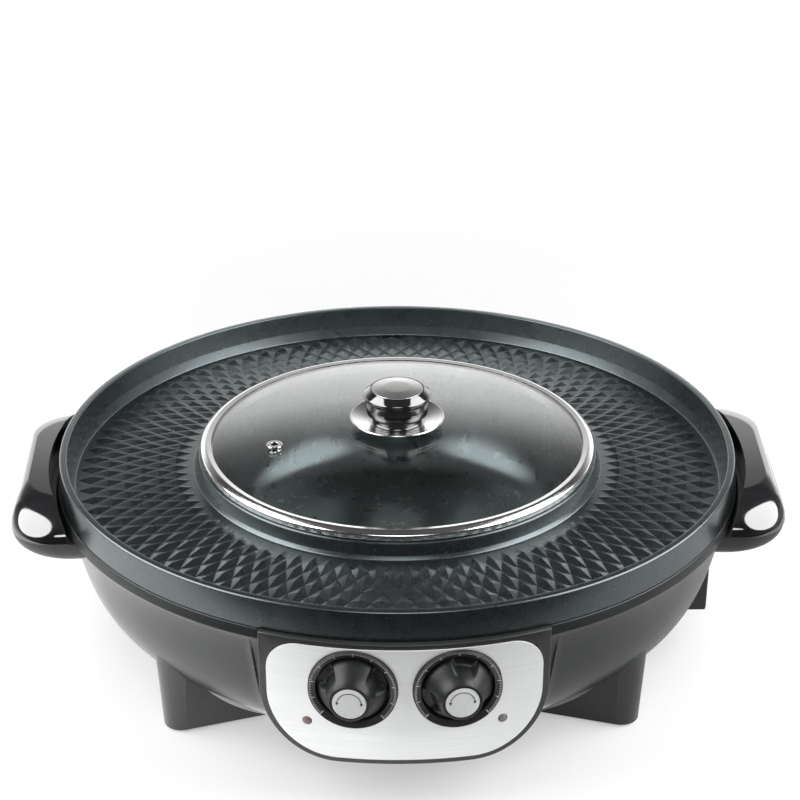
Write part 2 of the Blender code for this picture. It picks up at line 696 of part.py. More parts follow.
def make_console(housing, dials):
    """Front box, open at its back, and the curved panel on it."""
    top = RIM_HEIGHT - BAND_HEIGHT - GAP
    front_end = CONSOLE_RADIUS + OVERRUN
    notch_outline = panel_outline(CONSOLE_HALF_WIDTH + GAP, CONSOLE_BOTTOM - GAP, top + OVERRUN,
                                  CONSOLE_CORNER + GAP, 0)
    notch = front_block("console_notch", notch_outline, CONSOLE_BACK - GAP, front_end, housing_plastic)
    cut(housing, notch)
    console_outline = panel_outline(CONSOLE_HALF_WIDTH, CONSOLE_BOTTOM, top, CONSOLE_CORNER, 0)
    console = front_block("console_shell", console_outline, CONSOLE_BACK, front_end, console_plastic)
    face = column("console_face", CONSOLE_RADIUS, CONSOLE_BOTTOM - OVERRUN, top + OVERRUN, console_plastic)
    combine(console, face, "INTERSECT")
    wall = CONSOLE_WALL
    room_outline = panel_outline(CONSOLE_HALF_WIDTH - wall, CONSOLE_BOTTOM + wall, top - wall,
                                 CONSOLE_CORNER - wall, 0)
    room = front_block("console_room", room_outline, CONSOLE_BACK - OVERRUN, front_end, console_plastic)
    room_face = column("console_room_face", CONSOLE_RADIUS - wall, CONSOLE_BOTTOM - OVERRUN, top + OVERRUN,
                       console_plastic)
    combine(room, room_face, "INTERSECT")
    cut(console, room)
    pan_room = column("pan_room", PAN_CLEAR_RADIUS, RIM_HEIGHT - PAN_CLEAR_DEPTH, RIM_HEIGHT + OVERRUN,
                      console_plastic)
    cut(console, pan_room)

    low = CONSOLE_BOTTOM + PANEL_BOTTOM_MARGIN
    high = top - PANEL_TOP_MARGIN
    half = CONSOLE_HALF_WIDTH - PANEL_SIDE_MARGIN
    plate_outline = panel_outline(half, low, high, CONSOLE_CORNER - PANEL_SIDE_MARGIN, PANEL_TOP_CORNER)
    panel = front_block("control_panel", plate_outline, CONSOLE_BACK, front_end, panel_metal)
    panel_back = CONSOLE_RADIUS + GAP
    sheet = turned("panel_sheet", [(panel_back, low - OVERRUN), (PANEL_FACE, low - OVERRUN),
                                   (PANEL_FACE, high + OVERRUN), (panel_back, high + OVERRUN)],
                   FACE_STEPS, panel_metal)
    combine(panel, sheet, "INTERSECT")

    for side, dial in dials.items():
        well_hole = turned(f"well_hole_{side}", rod(DIAL_RADIUS + GAP, -DIAL_SINK * 3, OVERRUN * 2),
                           DIAL_STEPS, console_plastic, parent=dial)
        cut(console, well_hole)
        cut(panel, well_hole)
        lamp_hole = lamp_shape(f"lamp_hole_{side}", side, rod(LAMP_RADIUS + GAP, -LAMP_LENGTH * 2, OVERRUN))
        cut(console, lamp_hole)
        cut(panel, lamp_hole)


def lamp_shape(name, side, profile):
    """A turned shape on a lamp's axis, z outwards from the panel's face."""
    sign = SIDES[side]
    turn = math.asin(LAMP_SPREAD / PANEL_FACE) * sign
    made = turned(name, profile, SMALL_STEPS, lamp_plastic,
                  location=(LAMP_SPREAD * sign, -PANEL_FACE * math.cos(turn), LAMP_HEIGHT))
    made.rotation_euler = (QUARTER, 0, turn)
    return made


def knob_profile():
    """Radius and height of the knob's skin from its skirt to its face."""
    slope = bezier(((KNOB_RADIUS - KNOB_FACE_ROUND, KNOB_SKIRT + KNOB_FACE_ROUND),
                    (KNOB_RADIUS - KNOB_FACE_ROUND * 2, KNOB_HEIGHT * KNOB_SHOULDER_SHARE),
                    (KNOB_FACE_RADIUS + KNOB_FACE_ROUND, KNOB_HEIGHT * KNOB_NECK_SHARE),
                    (KNOB_FACE_RADIUS, KNOB_HEIGHT - KNOB_FACE_ROUND)), KNOB_POINTS)
    return [(KNOB_RADIUS, 0), (KNOB_RADIUS, KNOB_SKIRT)] + slope


def knob_corners(turn):
    """Angles round the knob, each with its share of the recess's depth: step, floor and step, then the lobe."""
    half = RECESS_HALF_ANGLE
    floor = half - RECESS_EDGE_ANGLE
    pitch = FULL_TURN / KNOB_RECESSES
    lobe = pitch - 2 * half
    corners = []
    for index in range(KNOB_RECESSES):
        middle = turn + pitch * index
        corners += [(middle - half, 0), (middle - floor, 1), (middle - floor / 3, 1), (middle + floor / 3, 1)]
        corners += [(middle + floor, 1), (middle + half, 0)]
        corners += [(middle + half + lobe / 3, 0), (middle + half + lobe * 2 / 3, 0)]
    return corners


def make_knob(name, dial, turn):
    """A tapering knob with three finger recesses, a seat for its disc in front and a blind bore behind."""
    bm = bmesh.new()
    corners = knob_corners(turn)

    def knob_ring(radius, z, depth=0.0):
        places = [around(radius - depth * sunk, angle) for angle, sunk in corners]
        return [bm.verts.new((x, y, z)) for x, y in places]

    skin = knob_profile()
    rings = [knob_ring(radius, z, RECESS_DEPTH * share) for (radius, z), share in zip(skin, RECESS_SHARES)]
    rings.append(knob_ring(KNOB_FACE_RADIUS - KNOB_FACE_ROUND, KNOB_HEIGHT))
    rings.append(knob_ring(DISC_RADIUS + GAP, KNOB_HEIGHT))
    rings.append(knob_ring(DISC_RADIUS + GAP, KNOB_HEIGHT - DISC_THICKNESS))
    rings.append([bm.verts.new((0, 0, KNOB_HEIGHT - DISC_THICKNESS))])
    for first, second in zip(rings, rings[1:]):
        bridge(bm, first, second)
    back = knob_ring(SHAFT_RADIUS + GAP, 0)
    bridge(bm, rings[0], back)
    bore_end = knob_ring(SHAFT_RADIUS + GAP, SHAFT_GRIP)
    bridge(bm, back, bore_end)
    bridge(bm, bore_end, [bm.verts.new((0, 0, SHAFT_GRIP))])
    return finish_mesh(bm, name, gloss_plastic, location=(0, 0, -DIAL_SINK + GAP), parent=dial)


def make_dial(side, dial):
    """Dial well, thermostat, shaft, knob and disc on one axis, z outwards from the panel's face."""
    well_floor = -DIAL_SINK
    profile = [
        (SHAFT_HOLE, well_floor - DIAL_FLOOR),
        (DIAL_RADIUS, well_floor - DIAL_FLOOR),
        (DIAL_RADIUS, DIAL_RISE),
        (DIAL_LIP, DIAL_RISE - DIAL_BEVEL),
        (DIAL_LIP, well_floor),
        (SHAFT_HOLE, well_floor),
    ]
    turned(f"dial_well_{side}", profile, DIAL_STEPS, console_plastic, parent=dial)
    make_knob(f"control_knob_{side}", dial, KNOB_TURNS[side])
    face = KNOB_HEIGHT - DIAL_SINK + GAP
    disc_low = face - DISC_THICKNESS + GAP
    disc_shape = [(0, disc_low), (DISC_RADIUS, disc_low), (DISC_RADIUS, face), (0, face + DISC_CROWN)]
    turned(f"knob_disc_{side}", disc_shape, DIAL_STEPS, disc_finish, parent=dial)
    shaft_low = well_floor - DIAL_FLOOR - GAP
    turned(f"knob_shaft_{side}", rod(SHAFT_RADIUS, shaft_low, well_floor + SHAFT_GRIP), SMALL_STEPS, steel,
           parent=dial)
    half_width = THERMOSTAT_WIDTH / 2
    half_height = THERMOSTAT_HEIGHT / 2
    body_top = shaft_low - GAP
    box(f"thermostat_{side}", (-half_width, -half_height, body_top - THERMOSTAT_DEPTH),
        (half_width, half_height, body_top), thermostat_finish, parent=dial)
    flange = LAMP_FLANGE
    inner_face = -PANEL_THICKNESS - CONSOLE_WALL - FACET_SAG - 2 * GAP
    lamp_shape(f"lamp_lens_{side}", side, [(0, inner_face - LAMP_RADIUS), (flange, inner_face - LAMP_RADIUS),
                                           (flange, inner_face), (LAMP_RADIUS, inner_face),
                                           (LAMP_RADIUS, 0), (0, LAMP_RADIUS / 3)])


def handle_slice(bm, reach, half_length, z):
    """One level of a handle: straight outside, round outer corners, square root."""
    corner = min(HANDLE_CORNER, half_length / 2)
    outline = [(HANDLE_ROOT, -half_length)]
    outline += arc((reach - corner, -half_length + corner), corner, -QUARTER, 0, HANDLE_POINTS)
    outline += arc((reach - corner, half_length - corner), corner, 0, QUARTER, HANDLE_POINTS)
    outline.append((HANDLE_ROOT, half_length))
    return [bm.verts.new((x, y, z)) for x, y in outline]


def handle_block(name, levels, finish, frame):
    """A handle shell lofted through its levels, (reach, half length, z)."""
    bm = bmesh.new()
    slices = [handle_slice(bm, *level) for level in levels]
    for first, second in zip(slices, slices[1:]):
        bridge(bm, first, second)
    bm.faces.new(slices[0])
    bm.faces.new(slices[-1])
    return finish_mesh(bm, name, finish, parent=frame)


def make_handle(side, frame, envelope):
    """Upper handle shell beyond its moat, lower shell up to the bowl, and the screws that join them."""
    upper = []
    lower = []
    for step in range(HANDLE_LEVELS + 1):
        angle = QUARTER * step / HANDLE_LEVELS
        drawn_in = 1 - math.cos(angle)
        swell = math.sin(angle)
        upper.append((HANDLE_REACH - HANDLE_SIDE_ROUND * drawn_in,
                      HANDLE_HALF_LENGTH - HANDLE_END_ROUND * drawn_in,
                      -HANDLE_PARTING + (HANDLE_PARTING - HANDLE_TOP) * swell))
        lower.append((HANDLE_REACH - HANDLE_LIP - HANDLE_UNDER_SIDE_ROUND * drawn_in,
                      HANDLE_HALF_LENGTH - HANDLE_LIP - HANDLE_UNDER_END_ROUND * drawn_in,
                      -HANDLE_PARTING - GAP - (HANDLE_BOTTOM - HANDLE_PARTING) * swell))
    top = handle_block(f"handle_top_{side}", upper, gloss_plastic, frame)
    base = handle_block(f"handle_base_{side}", lower, matt_plastic, frame)
    cut(base, envelope)
    moat_radius = PAN_RADIUS + HANDLE_MOAT_WIDTH
    half_length = HANDLE_HALF_LENGTH + OVERRUN
    half_angle = math.asin(half_length / moat_radius)
    sector = arc((0, 0), moat_radius, -half_angle, half_angle, HANDLE_MOAT_POINTS)
    sector += [(HANDLE_ROOT - OVERRUN, half_length), (HANDLE_ROOT - OVERRUN, -half_length)]
    moat = prism(f"handle_moat_{side}", sector, -HANDLE_PARTING - OVERRUN, OVERRUN, gloss_plastic,
                 parent=frame)
    cut(top, moat)
    for end, name in ((-1, "front"), (1, "rear")):
        place = (HANDLE_REACH - HANDLE_SCREW_INSET, (HANDLE_HALF_LENGTH - HANDLE_SCREW_MARGIN) * end,
                 -HANDLE_BOTTOM)
        grip = HANDLE_BOTTOM - HANDLE_HEAD_DEPTH - HANDLE_PARTING + HANDLE_SCREW_GRIP
        head_room = HEAD_RADIUS + HEAD_CLEARANCE
        bore_end = HANDLE_HEAD_DEPTH + grip + GAP
        bore_shape = [(0, -OVERRUN), (head_room, -OVERRUN), (head_room, HANDLE_HEAD_DEPTH),
                      (POST_BORE, HANDLE_HEAD_DEPTH), (POST_BORE, bore_end), (0, bore_end)]
        bore = turned(f"handle_bore_{side}_{name}", bore_shape, SCREW_STEPS, gloss_plastic, location=place,
                      parent=frame)
        cut(base, bore)
        cut(top, bore)
        seat = (place[0], place[1], place[2] + HANDLE_HEAD_DEPTH - GAP)
        screw(f"handle_screw_{side}_{name}", grip, seat, parent=frame)


def make_inlet(housing):
    """Shroud that plugs into the bowl's right side, with its connector and pins."""
    low = (INLET_BACK, INLET_Y - INLET_HALF_WIDTH, INLET_BOTTOM)
    high = (INLET_FACE, INLET_Y + INLET_HALF_WIDTH, INLET_TOP)
    window = box("inlet_window", tuple(value - GAP for value in low),
                 (high[0] + OVERRUN, high[1] + GAP, high[2] + GAP), housing_plastic)
    cut(housing, window)
    shroud = box("inlet_shroud", low, high, matt_plastic)
    mouth_back = INLET_FACE - INLET_MOUTH_DEPTH
    mouth = box("inlet_mouth", (mouth_back, low[1] + INLET_WALL, low[2] + INLET_WALL),
                (high[0] + OVERRUN, high[1] - INLET_WALL, high[2] - INLET_WALL), matt_plastic)
    cut(shroud, mouth)
    plate_low = (mouth_back + GAP, low[1] + INLET_WALL + GAP, low[2] + INLET_WALL + GAP)
    plate_high = (mouth_back + GAP + CONNECTOR_THICKNESS, high[1] - INLET_WALL - GAP,
                  high[2] - INLET_WALL - GAP)
    connector = box("inlet_connector", plate_low, plate_high, thermostat_finish)
    middle = (INLET_BOTTOM + INLET_TOP) / 2
    for index, (spread, rise) in enumerate(((-PIN_SPREAD, 0), (PIN_SPREAD, 0), (0, EARTH_PIN_RISE))):
        pin_shape = rod(PIN_RADIUS, CONNECTOR_THICKNESS / 2, CONNECTOR_THICKNESS + PIN_LENGTH)
        pin = turned(f"pin_{index}", pin_shape, SCREW_STEPS, steel,
                     location=(mouth_back, INLET_Y + spread, middle + rise))
        pin.rotation_euler = (0, QUARTER, 0)
        join(connector, pin)


def heater(name, radius, z, finish):
    """A bent tube, open where its ends would meet."""
    data = bpy.data.curves.new(name, "CURVE")
    data.dimensions = "3D"
    data.bevel_depth = HEATER_TUBE
    data.bevel_resolution = HEATER_SIDES_LEVEL
    data.use_fill_caps = True
    data.resolution_u = 1
    data.render_resolution_u = 1
    spline = data.splines.new("POLY")
    spline.points.add(HEATER_STEPS - 1)
    start = -QUARTER + HEATER_OPEN_ANGLE / 2
    for index, point in enumerate(spline.points):
        x, y = around(radius, start + (FULL_TURN - HEATER_OPEN_ANGLE) * index / (HEATER_STEPS - 1))
        point.co = (x, y, z, 1)
    data.materials.append(finish)
    made = bpy.data.objects.new(name, data)
    made.parent = stand
    bpy.context.scene.collection.objects.link(made)
    return made


def make_heating():
    """Heater tubes under the pot and the grill floor, and the shield below them."""
    pot_under = RIM_HEIGHT - WELL_DEPTH - PAN_WALL
    tray_under = RIM_HEIGHT - TRAY_DEPTH - PAN_WALL
    heater("pot_heater", POT_HEATER_RADIUS, pot_under - GAP - HEATER_TUBE, steel)
    heater("grill_heater", GRILL_HEATER_RADIUS, tray_under - GAP - HEATER_TUBE, steel)
    floor = BOWL_BASE_HEIGHT + HOUSING_WALL + GAP
    wall = SHIELD_THICKNESS
    turned("heat_shield", [
        (0, SHIELD_TOP_HEIGHT - wall), (SHIELD_TOP_RADIUS, SHIELD_TOP_HEIGHT - wall),
        (SHIELD_FLANGE_INNER, floor), (SHIELD_FLANGE_RADIUS, floor), (SHIELD_FLANGE_RADIUS, floor + wall),
        (SHIELD_FLANGE_INNER, floor + wall), (SHIELD_TOP_RADIUS, SHIELD_TOP_HEIGHT), (0, SHIELD_TOP_HEIGHT)],
        UNDER_STEPS, steel)


def make_grease_cup(housing):
    """Cup under the drain slot, sliding out to the rear, and its pocket in the housing."""
    slack = CUP_CLEARANCE
    axis = [(0, BOWL_BASE_HEIGHT), (0, RIM_HEIGHT - BAND_HEIGHT - GAP)]
    half_pocket = CUP_HALF_WIDTH + slack + POCKET_WALL
    shelf = box("cup_shelf", (-half_pocket, POCKET_BACK, CUP_BOTTOM - slack - POCKET_WALL),
                (half_pocket, POCKET_MOUTH, CUP_TOP + slack), housing_plastic)
    bowl_inside = turned("pocket_trim", bowl_outline(-HOUSING_WALL / 2) + axis, BOWL_STEPS, housing_plastic)
    combine(shelf, bowl_inside, "INTERSECT")
    join(housing, shelf)
    window = box("cup_window", (-CUP_HALF_WIDTH - slack, POCKET_BACK + POCKET_WALL, CUP_BOTTOM - slack),
                 (CUP_HALF_WIDTH + slack, CUP_LIP_END, CUP_TOP + slack + GAP), housing_plastic)
    cut(housing, window)

    skin = turned("cup_skin", bowl_outline(slack + CUP_FRONT_THICKNESS) + axis, BOWL_STEPS, matt_plastic)
    cup = box("grease_cup", (-CUP_HALF_WIDTH, CUP_INNER_END, CUP_BOTTOM),
              (CUP_HALF_WIDTH, CUP_LIP_END, CUP_TOP), matt_plastic)
    combine(cup, skin, "INTERSECT")
    half_front = CUP_HALF_WIDTH + CUP_FRONT_OVERLAP
    front = box("cup_front", (-half_front, CUP_ROOM_END / 2, CUP_BOTTOM - CUP_FRONT_OVERLAP),
                (half_front, CUP_LIP_END, CUP_TOP + CUP_FRONT_OVERLAP), matt_plastic)
    combine(front, skin, "INTERSECT")
    bowl_room = turned("cup_front_back", bowl_outline(slack) + axis, BOWL_STEPS, matt_plastic)
    cut(front, bowl_room)
    join(cup, front)
    lip = box("cup_lip", (-CUP_HALF_WIDTH / 2, CUP_ROOM_END, CUP_TOP - CUP_LIP_HEIGHT),
              (CUP_HALF_WIDTH / 2, CUP_LIP_END, CUP_TOP), matt_plastic)
    join(cup, lip)
    room = box("cup_room", (-CUP_HALF_WIDTH + CUP_WALL, CUP_INNER_END + CUP_WALL, CUP_BOTTOM + CUP_WALL),
               (CUP_HALF_WIDTH - CUP_WALL, CUP_ROOM_END, CUP_TOP + OVERRUN * 2), matt_plastic)
    cut(cup, room)


def dome_z(reach):
    """Height of the glass's upper face at a distance from the axis."""
    span = LID_RADIUS - 2 * RING_WALL
    radius = (span * span + GLASS_RISE * GLASS_RISE) / (2 * GLASS_RISE)
    return math.sqrt(radius * radius - reach * reach) - radius + GLASS_RISE - GLASS_DEPTH


def glass_curve(depth):
    """The lid's dome from its hole to its edge, moved down by a depth."""
    points = []
    for step in range(GLASS_POINTS + 1):
        reach = GLASS_HOLE + (GLASS_EDGE - GLASS_HOLE) * step / GLASS_POINTS
        points.append((reach, dome_z(reach) - depth))
    return points


def make_lid(lid):
    """Glass dome in its rolled ring, with vent, saucer, knob and the screw through them."""
    glass_shape = glass_curve(0) + list(reversed(glass_curve(GLASS_THICKNESS)))
    glass = turned("lid_glass", glass_shape, LID_STEPS, lid_glass_finish, parent=lid)
    edge_low = dome_z(GLASS_EDGE) - GLASS_THICKNESS - GAP
    ring_low = -SEAT_DEPTH + GAP
    turned("lid_ring", [
        (SKIRT_RADIUS, ring_low - SKIRT_DROP),
        (SKIRT_RADIUS + RING_WALL, ring_low - SKIRT_DROP),
        (SKIRT_RADIUS + RING_WALL, ring_low),
        (LID_RADIUS, ring_low),
        (LID_RADIUS, -RING_SHOULDER),
        ((LID_RADIUS + RING_INNER) / 2, -RING_CREST),
        (RING_INNER, -RING_CREST - RING_WALL / 4),
        (RING_INNER, dome_z(RING_INNER) + GAP),
        (GLASS_EDGE + GAP, dome_z(GLASS_EDGE) + GAP),
        (GLASS_EDGE + GAP, edge_low),
        (SKIRT_RADIUS, edge_low),
    ], LID_STEPS, steel, parent=lid)

    x, y = around(VENT_REACH, VENT_TURN)
    seat = dome_z(VENT_REACH)
    vent_hole = turned("vent_hole", rod(VENT_SEAT + GAP, -GLASS_THICKNESS * 2, GLASS_THICKNESS),
                       SMALL_STEPS, steel, location=(x, y, seat), parent=lid)
    cut(glass, vent_hole)
    vent_low = -GLASS_THICKNESS - VENT_LIP
    vent_high = VENT_TILT + VENT_LIP
    turned("lid_vent", [
        (VENT_HOLE, vent_low), (VENT_SEAT, vent_low), (VENT_SEAT, VENT_TILT), (VENT_RADIUS, VENT_TILT),
        (VENT_RADIUS - VENT_LIP / 2, vent_high), (VENT_HOLE, vent_high)],
        SMALL_STEPS, steel, location=(x, y, seat), parent=lid)

    saucer = dome_z(GLASS_HOLE) + GAP
    wall = PLATE_DISC_THICKNESS
    rise = PLATE_DISC_RISE
    turned("lid_plate", [
        (GLASS_HOLE, saucer), (PLATE_DISC_FLOOR, saucer), (PLATE_DISC_RADIUS - wall, saucer + rise - wall),
        (PLATE_DISC_RADIUS, saucer + rise - wall / 2), (PLATE_DISC_RADIUS - wall / 2, saucer + rise),
        (PLATE_DISC_FLOOR, saucer + wall), (GLASS_HOLE, saucer + wall)], KNOB_PLATE_STEPS, steel, parent=lid)
    base = saucer + wall + GAP
    bore_end = LID_SCREW_GRIP + GAP
    turned("lid_knob", [
        (LID_SCREW_RADIUS + GAP, 0), (STEM_RADIUS, 0), (STEM_RADIUS, STEM_HEIGHT),
        (BODY_RADIUS, STEM_HEIGHT * 3 / 2), (BODY_RADIUS, BODY_HEIGHT), (NECK_RADIUS, NECK_HEIGHT),
        (CROWN_RADIUS, (CROWN_HEIGHT + NECK_HEIGHT) / 2),
        (CROWN_RADIUS, CROWN_HEIGHT), (KNOB_TOP_RADIUS, KNOB_TOP_HEIGHT),
        (INSERT_RADIUS + GAP, KNOB_TOP_HEIGHT), (INSERT_RADIUS + GAP, KNOB_TOP_HEIGHT - INSERT_DEPTH),
        (0, KNOB_TOP_HEIGHT - INSERT_DEPTH), (0, bore_end), (LID_SCREW_RADIUS + GAP, bore_end)],
        LID_KNOB_STEPS, gloss_plastic, location=(0, 0, base), parent=lid)
    insert_low = base + KNOB_TOP_HEIGHT - INSERT_DEPTH + GAP
    turned("lid_knob_disc", [
        (0, insert_low), (INSERT_RADIUS, insert_low), (INSERT_RADIUS, insert_low + INSERT_DEPTH - GAP),
        (INSERT_RADIUS / 2, insert_low + INSERT_DEPTH + INSERT_DOME * 3 / 4),
        (0, insert_low + INSERT_DEPTH + INSERT_DOME)], LID_KNOB_STEPS, steel, parent=lid)
    washer_top = dome_z(GLASS_HOLE) - GLASS_THICKNESS - WASHER_SAG
    turned("lid_washer", [
        (LID_SCREW_RADIUS + GAP, washer_top - WASHER_THICKNESS),
        (WASHER_RADIUS, washer_top - WASHER_THICKNESS),
        (WASHER_RADIUS, washer_top), (LID_SCREW_RADIUS + GAP, washer_top)], SMALL_STEPS, rubber, parent=lid)
    seat = washer_top - WASHER_THICKNESS - GAP
    screw("lid_screw", base + LID_SCREW_GRIP - seat, (0, 0, seat), parent=lid, shank=LID_SCREW_RADIUS,
          head=LID_HEAD_RADIUS, height=LID_HEAD_HEIGHT)


def centre_on_origin():
    """Moves the stand so that the middle of the object's box is over the origin."""
    bpy.context.view_layer.update()
    depsgraph = bpy.context.evaluated_depsgraph_get()
    ends = []
    for piece in bpy.context.scene.objects:
        if piece.type not in ("MESH", "CURVE") or piece.hide_render:
            continue
        solid = piece.evaluated_get(depsgraph)
        mesh = solid.to_mesh()
        ends += [(solid.matrix_world @ corner.co).y for corner in mesh.vertices]
        solid.to_mesh_clear()
    stand.location.y = -(min(ends) + max(ends)) / 2


for old in list(bpy.data.objects):
    bpy.data.objects.remove(old, do_unlink=True)

# Sizes and shares that follow from those above
PATTERN_RADIUS = COLLAR_RADIUS + COLLAR_DRAFT + COLLAR_LEDGE
PANEL_FACE = CONSOLE_RADIUS + GAP + PANEL_THICKNESS
GLASS_EDGE = LID_RADIUS - 2 * RING_WALL - GAP
POCKET_MOUTH = PAN_RADIUS
HANDLE_REACH = PAN_RADIUS + HANDLE_PROTRUSION
HANDLE_ROOT = BOWL_BASE_RADIUS
VENT_TILT = GAP * 3
WASHER_SAG = GAP
PLATE_SCREW_TURN = math.radians(20)
WELL_UPPER_SHARE = 0.62
WELL_LOWER_DRAFTS = 1.6
KNOB_SHOULDER_SHARE = 0.45
KNOB_NECK_SHARE = 0.62
RECESS_SHARES = (0.0, 0.0, 1.0, 0.6, 0.05, 0.0)
WELL_POINTS = 5
UNDER_WELL_POINTS = 4
BOWL_POINTS = 4
TROUGH_POINTS = 5
VENT_END_POINTS = 2
KNOB_POINTS = 3
GLASS_POINTS = 3
LEG_CORNER_POINTS = 4
CORNER_POINTS = 5
FACE_STEPS = 72
FACET_SAG = CONSOLE_RADIUS * (1 - math.cos(math.pi / FACE_STEPS))
KNOB_PLATE_STEPS = 20
LID_KNOB_STEPS = 20
HANDLE_POINTS = 4
HANDLE_LEVELS = 4
HANDLE_MOAT_POINTS = 10
SIDES = {"left": -1, "right": 1}
KNOB_TURNS = {"left": math.radians(30), "right": math.radians(78)}

nonstick = material("nonstick", (0.035, 0.037, 0.038), 0.55)
housing_plastic = material("housing_plastic", (0.045, 0.047, 0.048), 0.38)
console_plastic = material("console_plastic", (0.030, 0.031, 0.032), 0.35)
gloss_plastic = material("gloss_plastic", (0.020, 0.021, 0.023), 0.12)
matt_plastic = material("matt_plastic", (0.040, 0.041, 0.042), 0.45)
panel_metal = material("panel_metal", (0.78, 0.79, 0.80), 0.35, metallic=0.4)
disc_finish = material("disc_finish", (0.85, 0.86, 0.86), 0.30)
lamp_plastic = material("lamp_plastic", (0.36, 0.25, 0.25), 0.25)
steel = material("steel", (0.66, 0.66, 0.65), 0.20, metallic=1.0)
thermostat_finish = material("thermostat_finish", (0.55, 0.50, 0.42), 0.60)
rubber = material("rubber", (0.030, 0.030, 0.030), 0.80)
lid_glass_finish = material("lid_glass_finish", (0.80, 0.86, 0.85), 0.02, alpha=0.25)

stand = empty("stand")
lid_frame = empty("lid_frame", location=(0, 0, RIM_HEIGHT), parent=stand)
dial_frames = {}
handle_frames = {}
for side_name, side_sign in SIDES.items():
    dial_turn = math.asin(DIAL_SPREAD / PANEL_FACE) * side_sign
    dial_frames[side_name] = empty(f"dial_frame_{side_name}",
                                   (DIAL_SPREAD * side_sign, -PANEL_FACE * math.cos(dial_turn), DIAL_HEIGHT),
                                   (QUARTER, 0, dial_turn), stand)
    handle_turn = -HANDLE_TURN if side_sign > 0 else math.pi + HANDLE_TURN
    handle_frames[side_name] = empty(f"handle_frame_{side_name}", (0, 0, RIM_HEIGHT), (0, 0, handle_turn),
                                     stand)

make_pan()
housing_body = make_housing()
make_bottom()
make_fasteners()
make_console(housing_body, dial_frames)
for side_name, dial_frame in dial_frames.items():
    make_dial(side_name, dial_frame)
envelope_outline = bowl_outline(GAP)
envelope_outline += [(0, BOWL_BASE_HEIGHT - GAP), (0, envelope_outline[0][1])]
handle_envelope = turned("handle_envelope", envelope_outline, BOWL_STEPS, housing_plastic)
for side_name, handle_frame in handle_frames.items():
    make_handle(side_name, handle_frame, handle_envelope)
make_inlet(housing_body)
make_heating()
make_grease_cup(housing_body)
make_lid(lid_frame)
centre_on_origin()
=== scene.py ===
"""Looks of the hot pot and grill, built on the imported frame.

Metres, +Z up, in the frame's own axes. Shapes that turn about the pan's axis are drawn with z from the floor.
"""

from math import asin, atan2, cos, pi, radians, sin, sqrt, tan

import bmesh
import bpy
from mathutils import Matrix, Vector


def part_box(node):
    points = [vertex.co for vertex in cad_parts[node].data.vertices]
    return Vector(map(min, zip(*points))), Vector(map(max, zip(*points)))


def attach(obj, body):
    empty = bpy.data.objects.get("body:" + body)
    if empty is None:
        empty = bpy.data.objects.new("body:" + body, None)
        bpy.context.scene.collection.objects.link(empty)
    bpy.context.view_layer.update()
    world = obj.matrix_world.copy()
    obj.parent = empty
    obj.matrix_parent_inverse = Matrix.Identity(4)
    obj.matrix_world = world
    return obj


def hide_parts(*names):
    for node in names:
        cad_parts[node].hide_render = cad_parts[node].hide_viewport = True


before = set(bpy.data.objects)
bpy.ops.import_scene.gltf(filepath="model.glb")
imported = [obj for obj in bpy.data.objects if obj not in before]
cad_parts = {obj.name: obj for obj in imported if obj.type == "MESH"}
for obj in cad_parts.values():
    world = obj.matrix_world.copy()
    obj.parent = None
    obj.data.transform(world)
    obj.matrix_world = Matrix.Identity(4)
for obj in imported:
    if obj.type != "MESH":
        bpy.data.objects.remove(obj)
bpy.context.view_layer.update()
pan_low, pan_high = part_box("grill_pan")

# General
GAP = 0.0003
OVERRUN = 0.004
RIM_HEIGHT = 0.125
AXIS_Y = (pan_low.y + pan_high.y) / 2

# Camera
CAMERA_PLACE = (-0.02044, AXIS_Y - 1.01512, 0.6341)
CAMERA_RIGHT = (0.99977, -0.0215, 0.00066)
CAMERA_UP = (0.00868, 0.43153, 0.90206)
CAMERA_BACK = (-0.01968, -0.90184, 0.43162)
CAMERA_LENS = 81
CAMERA_SENSOR = 36

# Pan
PAN_RADIUS = 0.2118
BAND_HEIGHT = 0.0172
BAND_TAPER = 0.0015
BAND_WALL = 0.0033
BAND_LOW = RIM_HEIGHT - BAND_HEIGHT
LIP_ROUND = 0.0018
LIP_WIDTH = 0.0046
RIM_WALL_HEIGHT = 0.0137
RIM_WALL_DRAFT = 0.0013
PAN_WALL = 0.0035
TRAY_RADIUS = 0.2005
TRAY_DEPTH = 0.0205
TRAY_RISE = 0.003
COLUMNS = 90
ROW_PITCH = 0.01045
FIRST_ROW = 0.0088
DIAMOND_HEIGHT = 0.0019
DIAMOND_EDGE = 0.00022
DIAMOND_SHARP = radians(12)
COLLAR_RADIUS = 0.1252
COLLAR_DRAFT = 0.0016
COLLAR_FOOT_DEPTH = 0.015
COLLAR_LEDGE = 0.0044
COLLAR_ROUND = 0.0014
PATTERN_RADIUS = COLLAR_RADIUS + COLLAR_DRAFT + COLLAR_LEDGE
ROWS = int((TRAY_RADIUS - PATTERN_RADIUS - FIRST_ROW) / ROW_PITCH) + 1
SEAT_DEPTH = 0.0073
WELL_RADIUS = 0.1178
WELL_DEPTH = 0.074
WELL_DRAFT = 0.004
WELL_FLOOR_RADIUS = 0.076
WELL_UPPER_SHARE = 0.62
WELL_LOWER_DRAFTS = 1.6
SLOT_LENGTH = 0.015
SLOT_WIDTH = 0.0062
SLOT_RADIUS = 0.1992

